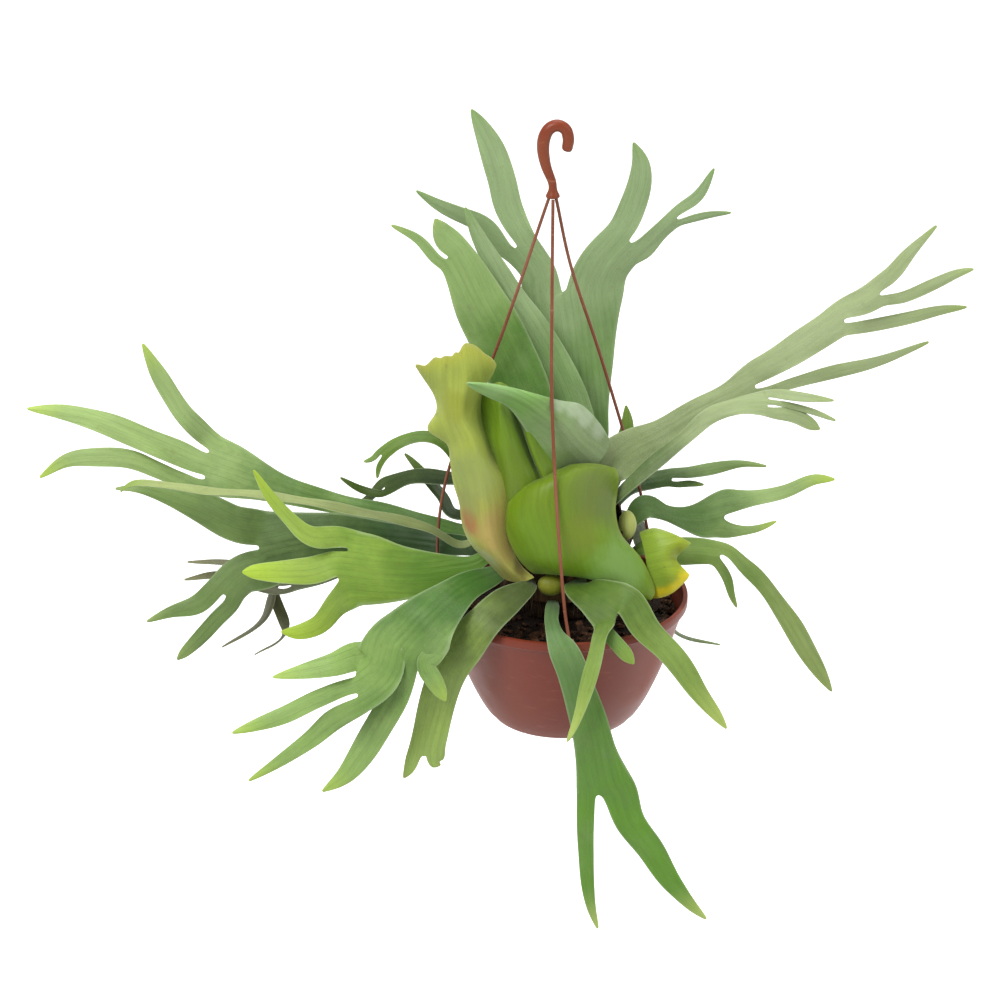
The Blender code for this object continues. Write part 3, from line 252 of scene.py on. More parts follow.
class Bench:
    """The modelling operations that every piece is made with."""

    @staticmethod
    def clear() -> None:
        """Leave edit mode and deselect everything."""
        if bpy.context.object and bpy.context.object.mode != "OBJECT":
            bpy.ops.object.mode_set(mode="OBJECT")
        bpy.ops.object.select_all(action="DESELECT")

    @staticmethod
    def take(*pieces: Piece) -> None:
        """Select these pieces alone, with the first one active."""
        Bench.clear()
        for piece in pieces:
            piece.select_set(True)
        bpy.context.view_layer.objects.active = pieces[0]

    @staticmethod
    @contextmanager
    def editing(piece: Piece) -> Iterator[None]:
        """Edit a piece, with all of its mesh selected."""
        Bench.take(piece)
        bpy.ops.object.mode_set(mode="EDIT")
        bpy.ops.mesh.select_all(action="SELECT")
        yield
        bpy.ops.object.mode_set(mode="OBJECT")

    @staticmethod
    def close_up(doubles: float) -> None:
        """Merge the edited mesh's doubles, up to this far apart, and turn its faces out."""
        bpy.ops.mesh.select_all(action="SELECT")
        bpy.ops.mesh.remove_doubles(threshold=doubles)
        bpy.ops.mesh.normals_make_consistent(inside=False)

    @staticmethod
    def place(name: str, data: bpy.types.ID) -> Piece:
        """Put a mesh, a curve, a light or a camera in the scene as a named object."""
        piece = bpy.data.objects.new(name, data)
        bpy.context.scene.collection.objects.link(piece)
        return piece

    @staticmethod
    def primitive(kind: str, **settings: object) -> Piece:
        """Add one of Blender's own mesh primitives, such as a grid, with its settings."""
        Bench.clear()
        getattr(bpy.ops.mesh, f"primitive_{kind}_add")(**settings)
        return bpy.context.object

    @staticmethod
    def note(mesh: bpy.types.Mesh, **values: list[float]) -> None:
        """Keep values by their names on a mesh's points, for its material to read."""
        for label, noted in values.items():
            mesh.attributes.new(label, "FLOAT", "POINT").data.foreach_set("value", noted)

    @staticmethod
    def modify(piece: Piece, kind: str, **settings: object) -> None:
        """Add a modifier and apply it.

        Args:
            piece: The piece to change.
            kind: The modifier's type, such as BEVEL.
            settings: The modifier's own settings.
        """
        Bench.take(piece)
        bpy.ops.object.modifier_add(type=kind)
        modifier = piece.modifiers[-1]
        for setting, value in settings.items():
            setattr(modifier, setting, value)
        bpy.ops.object.modifier_apply(modifier=modifier.name)

    @staticmethod
    def combine(piece: Piece, tool: Piece, operation: str) -> None:
        """Cut a tool out of a piece, or join it on, and use it up.

        The exact boolean lists a mesh's elements in another order in each run, which a bevel
        after it can show, so they are put in an order of their places.

        Args:
            piece: The piece to change.
            tool: The solid to cut out or join on.
            operation: DIFFERENCE or UNION.
        """
        Bench.modify(piece, "BOOLEAN", object=tool, operation=operation, solver="EXACT")
        bpy.data.objects.remove(tool)
        way = Vector((0.613, 0.337, 0.714))     # oblique, so that few places tie along it
        bm = bmesh.new()
        bm.from_mesh(piece.data)
        bm.verts.sort(key=lambda vert: vert.co.dot(way))
        bm.edges.sort(key=lambda edge: (edge.verts[0].co + edge.verts[1].co).dot(way))
        bm.faces.sort(key=lambda face: face.calc_center_median().dot(way))
        bm.to_mesh(piece.data)
        bm.free()

    @staticmethod
    def settle(piece: Piece) -> None:
        """Put a piece's place, turn and scale into its mesh."""
        Bench.take(piece)
        bpy.ops.object.transform_apply(location=True, rotation=True, scale=True)

    @staticmethod
    def smooth(piece: Piece, degrees: float) -> None:
        """Shade smooth, and keep edges sharper than this angle crisp."""
        Bench.take(piece)
        bpy.ops.object.shade_smooth_by_angle(angle=math.radians(degrees))

    @staticmethod
    def join(name: str, pieces: Sequence[Piece]) -> Piece:
        """Join pieces into the first one, and name it."""
        Bench.take(*pieces)
        bpy.ops.object.join()
        pieces[0].name = name
        return pieces[0]

    @staticmethod
    def spin(name: str, profile: Sequence[tuple[float, float]], centre: Vector,
             steps: int) -> Piece:
        """Turn a profile of (radius, height) about an upright axis into a closed solid.

        Args:
            name: The piece's name.
            profile: The section from the axis or the outside round to the axis.
            centre: The point on the axis that heights are measured from.
            steps: Faces round the axis.

        Returns:
            The piece, with its doubles merged and its faces pointing out.
        """
        mesh = bpy.data.meshes.new(name)
        points = [centre + Vector((radius, 0.0, height)) for radius, height in profile]
        mesh.from_pydata(points, [(i, i + 1) for i in range(len(points) - 1)], [])
        piece = Bench.place(name, mesh)
        with Bench.editing(piece):
            bpy.ops.mesh.spin(steps=steps, angle=math.tau, center=centre, axis=(0.0, 0.0, 1.0))
            Bench.close_up(0.00002)
        return piece

    @staticmethod
    def bar(name: str, rows: Sequence[Vector], sides: int) -> Piece:
        """A round bar along (x, y, z, radius) points, drawn as a bevelled curve.

        Args:
            name: The piece's name.
            rows: The bar's middle line, with its radius there.
            sides: Bevel resolution: 2 gives 8 sides, 6 gives 16.

        Returns:
            The bar as a closed mesh.
        """
        curve = bpy.data.curves.new(name, "CURVE")
        curve.dimensions = "3D"
        curve.bevel_depth = 1.0
        curve.bevel_resolution = sides
        curve.use_fill_caps = True
        spline = curve.splines.new("POLY")
        spline.points.add(len(rows) - 1)
        for point, row in zip(spline.points, rows):
            point.co = (row.x, row.y, row.z, 1.0)
            point.radius = row.w
        Bench.take(Bench.place(name, curve))
        bpy.ops.object.convert(target="MESH")
        piece = bpy.context.object
        with Bench.editing(piece):
            Bench.close_up(0.00001)
        return piece

    @staticmethod
    def deliver(piece: Piece, material: Material | None, slot: str, *nodes: str) -> Piece:
        """Dress a finished piece and hang it on the frame.

        Args:
            piece: The finished piece.
            material: Its material, or None where the piece has its materials already.
            slot: The material slot that it belongs to; not used.
            nodes: The frame's nodes that it stands for.

        Returns:
            The piece.
        """
        if material:
            piece.data.materials.clear()
            piece.data.materials.append(material)
        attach(piece, ROOT)
        if nodes:
            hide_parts(*nodes)
        LOG.info("%s: %d faces", piece.name, len(piece.data.polygons))
        return piece


def smooth_path(points: Sequence[Vector], start: Vector | None = None,
                step: int = 16) -> list[Vector]:
    """Sample a smooth curve through points of any length, closely and in order.

    Args:
        points: The points to go through, each (x, y, z, half width or radius).
        start: The direction that the curve leaves its first point in.
        step: Samples between two points.

    Returns:
        The samples.
    """
    tangents = []
    for i, point in enumerate(points):
        before = points[max(i - 1, 0)]
        after = points[min(i + 1, len(points) - 1)]
        tangents.append((after - before) * (0.5 if 0 < i < len(points) - 1 else 1.0))
    if start is not None:
        reach = (points[1] - points[0]).to_3d().length
        tangents[0] = Vector((*(start * reach), tangents[0][3]))
    samples = []
    for i in range(len(points) - 1):
        for k in range(step):
            t = k / step
            samples.append(points[i] * (2 * t**3 - 3 * t**2 + 1)
                           + tangents[i] * (t**3 - 2 * t**2 + t)
                           + points[i + 1] * (3 * t**2 - 2 * t**3)
                           + tangents[i + 1] * (t**3 - t**2))
    samples.append(points[-1].copy())
    return samples


def evenly(samples: Sequence[Vector], count: int) -> tuple[list[Vector], float]:
    """Pick count + 1 places along a sampled path at equal distances.

    Args:
        samples: The sampled path.
        count: The number of stretches.

    Returns:
        The places, and the path's length.
    """
    lengths = [0.0]
    for a, b in zip(samples, samples[1:]):
        lengths.append(lengths[-1] + (b - a).to_3d().length)
    picked = []
    k = 0
    for i in range(count + 1):
        target = lengths[-1] * i / count
        while k < len(samples) - 2 and lengths[k + 1] < target:
            k += 1
        span = max(lengths[k + 1] - lengths[k], 1e-12)
        picked.append(samples[k].lerp(samples[k + 1], min((target - lengths[k]) / span, 1.0)))
    return picked, lengths[-1]


# ---- shading

class Shade:
    """Adds and links the nodes of one material or node group."""

    def __init__(self, tree: Tree) -> None:
        """Work in this node tree."""
        self.tree = tree

    def add(self, kind: str, **values: object) -> Node:
        """Add a node, and set its sockets and properties.

        Args:
            kind: The node's type, such as ShaderNodeMix.
            values: A property by its name, or an input by "i_" and its name or number. A value
                that is a socket is linked.

        Returns:
            The node.
        """
        node = self.tree.nodes.new(kind)
        for key, value in values.items():
            if not key.startswith("i_"):
                setattr(node, key, value)
        for key, value in values.items():
            if key.startswith("i_"):
                name = key[2:]
                socket = node.inputs[int(name) if name.isdigit() else name.replace("_", " ")]
                self.feed(socket, value)
        return node

    def feed(self, socket: Socket, value: object) -> None:
        """Link a socket to another, or set its value.

        Args:
            socket: The socket to feed.
            value: The socket to link it to, or its value.
        """
        if isinstance(value, Socket):
            self.tree.links.new(value, socket)
        elif isinstance(value, tuple) and len(value) == 3 and socket.type == "RGBA":
            socket.default_value = (*value, 1.0)
        else:
            socket.default_value = value

    def math(self, operation: str, *values: object, clamp: bool = False) -> Socket:
        """A Math node's result."""
        settings = {f"i_{i}": value for i, value in enumerate(values)}
        return self.add("ShaderNodeMath", operation=operation, use_clamp=clamp,
                        **settings).outputs[0]

    def ramp(self, value: object, low: float, high: float, start: float = 0.0,
             end: float = 1.0) -> Socket:
        """Value read smoothly from low..high to start..end."""
        return self.add("ShaderNodeMapRange", interpolation_type="SMOOTHSTEP", i_0=value, i_1=low,
                        i_2=high, i_3=start, i_4=end).outputs[0]

    def mix(self, share: object, a: object, b: object) -> Socket:
        """Two colours mixed by a share."""
        return self.add("ShaderNodeMix", data_type="RGBA", i_0=share, i_6=a, i_7=b).outputs[2]

    def noise(self, vector: object, scale: float, detail: float = 3.0,
              roughness: float = 0.55) -> Socket:
        """A noise value."""
        return self.add("ShaderNodeTexNoise", i_Vector=vector, i_Scale=scale, i_Detail=detail,
                        i_Roughness=roughness).outputs["Fac"]

    def stretch(self, vector: object, scale: Point) -> Socket:
        """A vector scaled along its axes."""
        return self.add("ShaderNodeMapping", i_Vector=vector, i_Scale=scale).outputs[0]

    def group(self, tree: Tree, **values: object) -> Sockets:
        """Place a node group.

        Args:
            tree: The group.
            values: What feeds its inputs, by their names.

        Returns:
            The sockets that give its results.
        """
        node = self.tree.nodes.new("ShaderNodeGroup")
        node.node_tree = tree
        for key, value in values.items():
            self.feed(node.inputs[key], value)
        return node.outputs

    def close(self, **results: Socket) -> Tree:
        """End a node group.

        Args:
            results: The socket that feeds each of the group's outputs.

        Returns:
            The group.
        """
        for name in results:
            self.tree.interface.new_socket(name=name, in_out="OUTPUT",
                                           socket_type="NodeSocketFloat")
        end = self.add("NodeGroupOutput")
        for name, socket in results.items():
            self.feed(end.inputs[name], socket)
        return self.tree

    def surface(self, bsdf: Node, colour: Socket, roughness: Socket, relief: Socket,
                strength: float, depth: float) -> None:
        """Give a material its colour, its roughness and its fine relief.

        Args:
            bsdf: The material's Principled node.
            colour: The colour.
            roughness: The roughness.
            relief: How high each place stands.
            strength: How strongly the relief shows.
            depth: How deep it is.
        """
        bump = self.add("ShaderNodeBump", i_Strength=strength, i_Distance=depth, i_Height=relief)
        for socket, value in (("Base Color", colour), ("Roughness", roughness),
                              ("Normal", bump.outputs[0])):
            self.feed(bsdf.inputs[socket], value)


def new_group(name: str, **inputs: float | None) -> tuple[Shade, Sockets]:
    """Start a shader node group.

    Args:
        name: The group's name.
        inputs: Each input's usual value, or None for a vector.

    Returns:
        The group's shade helper, and the sockets that give its inputs.
    """
    tree = bpy.data.node_groups.new(name, "ShaderNodeTree")
    for label, value in inputs.items():
        kind = "NodeSocketVector" if value is None else "NodeSocketFloat"
        socket = tree.interface.new_socket(name=label, in_out="INPUT", socket_type=kind)
        if value is not None:
            socket.default_value = value
    shade = Shade(tree)
    return shade, shade.add("NodeGroupInput").outputs


class Effects:
    """The effects that several materials share, each built once as a node group."""

    def __init__(self) -> None:
        """Build the groups."""
        self.veins = self._veins()
        self.felt = self._felt()
        self.stain = self._stain_and_shade()
        self.wear_and_sheen = self._wear_and_sheen()
        self.fibre = self._fibre()

    @staticmethod
    def _veins() -> Tree:
        """Long veins that follow the blade, with a net of finer ones between them.

        Returns:
            The group.
        """
        shade, given = new_group("leaf_veins", Blade=None, Place=None)
        parts = shade.add("ShaderNodeSeparateXYZ", i_0=given["Blade"])
        bend = shade.math("MULTIPLY", shade.noise(given["Place"], 28.0, 2.0), 0.5)
        bands = shade.math("ADD", shade.math("DIVIDE", parts.outputs["X"], VEIN_SPACING), bend)
        line = shade.ramp(shade.math("PINGPONG", bands, 0.5), 0.0, 0.10, 1.0, 0.0)
        cells = shade.add("ShaderNodeTexVoronoi", feature="DISTANCE_TO_EDGE",
                          i_Vector=shade.stretch(given["Blade"], (330.0, 120.0, 1.0)),
                          i_Scale=1.0)
        return shade.close(Veins=line,
                           Net=shade.ramp(cells.outputs["Distance"], 0.0, 0.13, 1.0, 0.0))

    @staticmethod
    def _felt() -> Tree:
        """Felt of tiny star hairs, thick in patches and rubbed off in others.

        Returns:
            The group.
        """
        shade, given = new_group("star_felt", Place=None, Cover=0.5)
        patches = shade.noise(given["Place"], 22.0, 5.0, 0.6)
        missing = shade.math("SUBTRACT", 1.0, given["Cover"])
        thick = shade.ramp(shade.math("SUBTRACT", patches, shade.math("MULTIPLY", missing, 0.6)),
                           0.0, 0.45)
        hairs = shade.ramp(shade.noise(given["Place"], 1300.0, 2.0, 0.7), 0.40, 0.68)
        felt = shade.math("MULTIPLY", thick, shade.math("MULTIPLY_ADD", hairs, 0.6, 0.4))
        return shade.close(Felt=felt, Hairs=hairs)

    @staticmethod
    def _stain_and_shade() -> Tree:
        """A ragged round patch about a point, for stains and for painted shade.

        Returns:
            The group.
        """
        shade, given = new_group("stain", Place=None, Centre=None, Radius=0.02)
        away = shade.add("ShaderNodeVectorMath", operation="DISTANCE", i_0=given["Place"],
                         i_1=given["Centre"]).outputs["Value"]
        rags = shade.math("SUBTRACT", shade.noise(given["Place"], 95.0, 5.0), 0.5)
        share = shade.math("ADD", shade.math("DIVIDE", away, given["Radius"]),
                           shade.math("MULTIPLY", rags, 0.7))
        return shade.close(Stain=shade.ramp(share, 0.35, 1.0, 1.0, 0.0))

    @staticmethod
    def _wear_and_sheen() -> Tree:
        """Handling marks on plastic: scuffs, fine scratches, a bloom of dust and painted sheen.

        Returns:
            The group.
        """
        shade, given = new_group("plastic_wear_and_sheen", Place=None, Amount=0.5)
        cloud = shade.ramp(shade.noise(given["Place"], 19.0, 5.0), 0.38, 0.72)
        scuffs = shade.ramp(shade.noise(shade.stretch(given["Place"], (60.0, 60.0, 260.0)), 1.0,
                                        4.0, 0.7), 0.58, 0.74)
        return shade.close(Bloom=shade.math("MULTIPLY", cloud, given["Amount"]),
                           Scuffs=shade.math("MULTIPLY", scuffs, given["Amount"]),
                           Grain=shade.noise(given["Place"], 2200.0, 2.0))

    @staticmethod
    def _fibre() -> Tree:
        """Streaks of root, peat and dead leaf.

        Returns:
            The group.
        """
        shade, given = new_group("fibre", Place=None, Fineness=1.0)
        wide = shade.add("ShaderNodeVectorMath", operation="SCALE", i_0=given["Place"],
                         i_Scale=given["Fineness"]).outputs[0]
        streaks = shade.noise(shade.stretch(wide, (420.0, 420.0, 60.0)), 1.0, 4.0, 0.65)
        return shade.close(Streaks=shade.ramp(streaks, 0.35, 0.68),
                           Crumbs=shade.noise(wide, 420.0, 4.0, 0.7))


class Paint:
    """Makes the part's materials from its finishes."""

    def __init__(self, effects: Effects) -> None:
        """Use these shared effects."""
        self.effects = effects

    @staticmethod
    def start(name: str, **surface: object) -> tuple[Material, Shade, Node, Socket]:
        """Start a material.

        Args:
            name: The material's name.
            surface: The shader's own uniform values, by socket name.

        Returns:
            The material, its shade helper, its Principled node and its Object coordinates.
        """
        material = bpy.data.materials.new(name)
        material.use_nodes = True
        material.node_tree.nodes.clear()
        shade = Shade(material.node_tree)
        bsdf = shade.add("ShaderNodeBsdfPrincipled")
        for socket, value in surface.items():
            shade.feed(bsdf.inputs[socket.replace("_", " ")], value)
        shade.add("ShaderNodeOutputMaterial", i_Surface=bsdf.outputs[0])
        return material, shade, bsdf, shade.add("ShaderNodeTexCoord").outputs["Object"]

    def leaf(self, name: str, finish: LeafFinish, under: bool,
             stains_and_shade: Sequence["Stain"] = ()) -> Material:
        """A felted green blade, seen from its upper or its under side.

        Args:
            name: The material's name.
            finish: The blade's finish.
            under: True for the under side.
            stains_and_shade: Coloured patches on it.

        Returns:
            The material.
        """
        material, shade, bsdf, place = self.start(
            name, Sheen_Weight=0.12, Sheen_Roughness=0.45, Specular_IOR_Level=0.32,
            Subsurface_Weight=0.08, Subsurface_Radius=(0.6, 1.0, 0.25), Subsurface_Scale=0.003)
        blade = shade.add("ShaderNodeUVMap", uv_map="blade").outputs[0]
        tip, margin, run = (shade.add("ShaderNodeAttribute", attribute_name=label).outputs["Fac"]
                            for label in ("tip", "margin", "run"))
        veins = shade.group(self.effects.veins, Blade=blade, Place=place)
        felt = shade.group(self.effects.felt, Place=place,
                           Cover=finish.cover + (0.25 if under else 0.0))
        broad = shade.noise(place, 19.0, 5.0, 0.6)
        fine = shade.noise(shade.stretch(blade, (300.0, 20.0, 1.0)), 1.0, 4.0, 0.65)
        # From the deep green of the stalk to the lighter lobes, in drifting patches.
        drift = shade.math("MULTIPLY_ADD", shade.math("SUBTRACT", broad, 0.5), finish.patchy, run)
        body = shade.mix(shade.ramp(drift, finish.turn - 0.3, finish.turn + 0.3), finish.deep,
                         finish.light)
        if under:
            body = shade.mix(0.6, body, finish.under)
        streaks = shade.ramp(fine, 0.30, 0.72, -0.10, 0.10)
        body = shade.add("ShaderNodeHueSaturation", i_Hue=0.5, i_Saturation=1.0,
                         i_Value=shade.math("ADD", streaks, 1.0), i_Color=body).outputs[0]
        ends = shade.math("ADD", tip, shade.math("MULTIPLY", broad, 0.3))
        young = shade.math("MULTIPLY", shade.ramp(ends, 1.1 - finish.tip_reach, 1.25), 0.9,
                           clamp=True)
        colour = shade.mix(young, body, finish.tip)
        net = shade.math("MULTIPLY", veins["Net"], 0.25)
        dark = shade.math("ADD", shade.math("MULTIPLY", veins["Veins"], 0.7), net, clamp=True)
        colour = shade.mix(shade.math("MULTIPLY", dark, finish.vein * 0.6), colour,
                           darker(finish.deep, 0.5))
        specks = shade.ramp(shade.noise(place, 150.0, 4.0, 0.65), 0.60, 0.74)
        colour = shade.mix(shade.math("MULTIPLY", specks, finish.flecks), colour, finish.fleck)
        # Coloured patches: the leaves' stains, and on two shields painted shade.
        for stain in stains_and_shade:
            spot = shade.group(self.effects.stain, Place=place, Centre=stain.centre,
                               Radius=stain.radius)
            colour = shade.mix(shade.math("MULTIPLY", spot["Stain"], stain.strength), colour,
                               stain.colour)
        coat = shade.math("MULTIPLY", felt["Felt"], 0.20 + 0.35 * finish.cover)
        colour = shade.mix(coat, colour, finish.felt)
        colour = shade.mix(shade.ramp(margin, 0.88, 1.0, 0.0, 0.4), colour, finish.felt)
        rough = shade.math("MULTIPLY_ADD", felt["Felt"], 0.35, finish.gloss)
        hairs = shade.math("ADD", shade.math("MULTIPLY", felt["Hairs"], 0.25), fine)
        relief = shade.math("ADD", shade.math("MULTIPLY", dark, 0.8 if under else -0.6), hairs)
        shade.surface(bsdf, colour, rough, relief, 0.4, 0.0004)
        return material

    def plastic(self, kind: Plastic) -> Material:
        """Moulded plastic, scuffed, with a bloom of dust and painted sheen.

        Args:
            kind: Which plastic.

        Returns:
            The material.
        """
        finish = kind.value
        material, shade, bsdf, place = self.start(kind.name.lower(), Specular_IOR_Level=0.3)
        wear_and_sheen = shade.group(self.effects.wear_and_sheen, Place=place, Amount=finish.wear_and_sheen)
        body = shade.mix(shade.ramp(shade.noise(place, 7.0, 2.0), 0.35, 0.7), finish.colour,
                         darker(finish.colour, 0.8))
        # The bloom is partly dust and partly painted sheen, laid in patches.
        dusted_and_sheened = shade.mix(wear_and_sheen["Bloom"], body, finish.bloom)
        worn = shade.mix(wear_and_sheen["Scuffs"], dusted_and_sheened, finish.edge)
        rough = shade.math("MULTIPLY_ADD", wear_and_sheen["Bloom"], 0.3, finish.roughness)
        shade.surface(bsdf, worn, rough, wear_and_sheen["Grain"], 0.12, 0.0002)
        return material

    def litter(self, kind: Litter) -> Material:
        """Fibrous dead matter, damp in patches, with pale crumbs.

        Args:
            kind: Which matter.

        Returns:
            The material.
        """
        finish = kind.value
        material, shade, bsdf, place = self.start(kind.name.lower(), Specular_IOR_Level=0.25)
        fibre = shade.group(self.effects.fibre, Place=place, Fineness=finish.fineness)
        body = shade.mix(fibre["Streaks"], finish.damp, finish.dry)
        damp = shade.ramp(shade.noise(place, 45.0, 4.0), 0.35, 0.65, 0.0, 0.6)
        body = shade.mix(damp, body, finish.damp)
        body = shade.mix(shade.ramp(fibre["Crumbs"], 0.62, 0.74), body, finish.fleck)
        rough = shade.ramp(fibre["Crumbs"], 0.3, 0.7, 0.65, 0.95)
        relief = shade.math("ADD", fibre["Streaks"], fibre["Crumbs"])
        shade.surface(bsdf, body, rough, relief, 0.6, 0.0008)
        return material


@dataclass(frozen=True)
class Stain:
    """A stain or painted shade on a leaf, about a point in centimetres from the crown."""

    at: Point
    radius: float
    colour: Colour
    strength: float = 0.8

    @property
    def centre(self) -> Vector:
        """The patch's middle in the frame."""
        return CROWN + Vector(self.at) * CM


# ---- leaves

@dataclass(frozen=True)
class Strap:
    """One run of a blade, up to where it forks or ends."""

    path: Sequence[tuple[float, ...]]   # x, y, z and half width, in centimetres about the crown
    lobes: list["Strap"] = field(default_factory=list)


def read_points(text: str) -> list[tuple[float, ...]]:
    """Read points that commas divide, each a few numbers apart by spaces."""
    return [tuple(map(float, point.split())) for point in text.split(",")]


def read_lines(text: str) -> list[str]:
    """Split text into lines, where a line that ends in a comma goes on in the next."""
    return re.sub(r",\n *", ", ", text.strip("\n")).splitlines()


@dataclass(frozen=True)
class Leaf:
    """A leaf that grows out in straps, each a line of points with its lobes indented below it."""

    finish: Frond | Shield
    seat: Point                   # where its stalk leaves the mound
    face: Point                   # where its upper side looks there
    end_face: Point               # and where it looks by the first fork
    straps: str
    stains_and_shade: Sequence[Stain] = ()

    @property
    def blade(self) -> Strap:
        """The blade.

        Returns:
            Its first strap, with all that grows from it.
        """
        open_straps: list[tuple[int, Strap]] = []
        for line in read_lines(self.straps):
            depth = len(line) - len(line.lstrip())
            strap = Strap(read_points(line))
            while open_straps and open_straps[-1][0] >= depth:
                open_straps.pop()
            if open_straps:
                open_straps[-1][1].lobes.append(strap)
            open_straps.append((depth, strap))
        return open_straps[0][1]


@dataclass(frozen=True)
class Drape:
    """A leaf that drapes and folds over a grid of points, with one row of them on each line."""

    finish: Frond | Shield
    rows: str                     # from the foot to the free edge, each from left to right
    stains_and_shade: Sequence[Stain] = ()
    ragged: float = 0.0           # how far the free edge runs in and out

    @property
    def grid(self) -> list[list[tuple[float, ...]]]:
        """The grid's rows of points."""
        return [read_points(row) for row in read_lines(self.rows)]


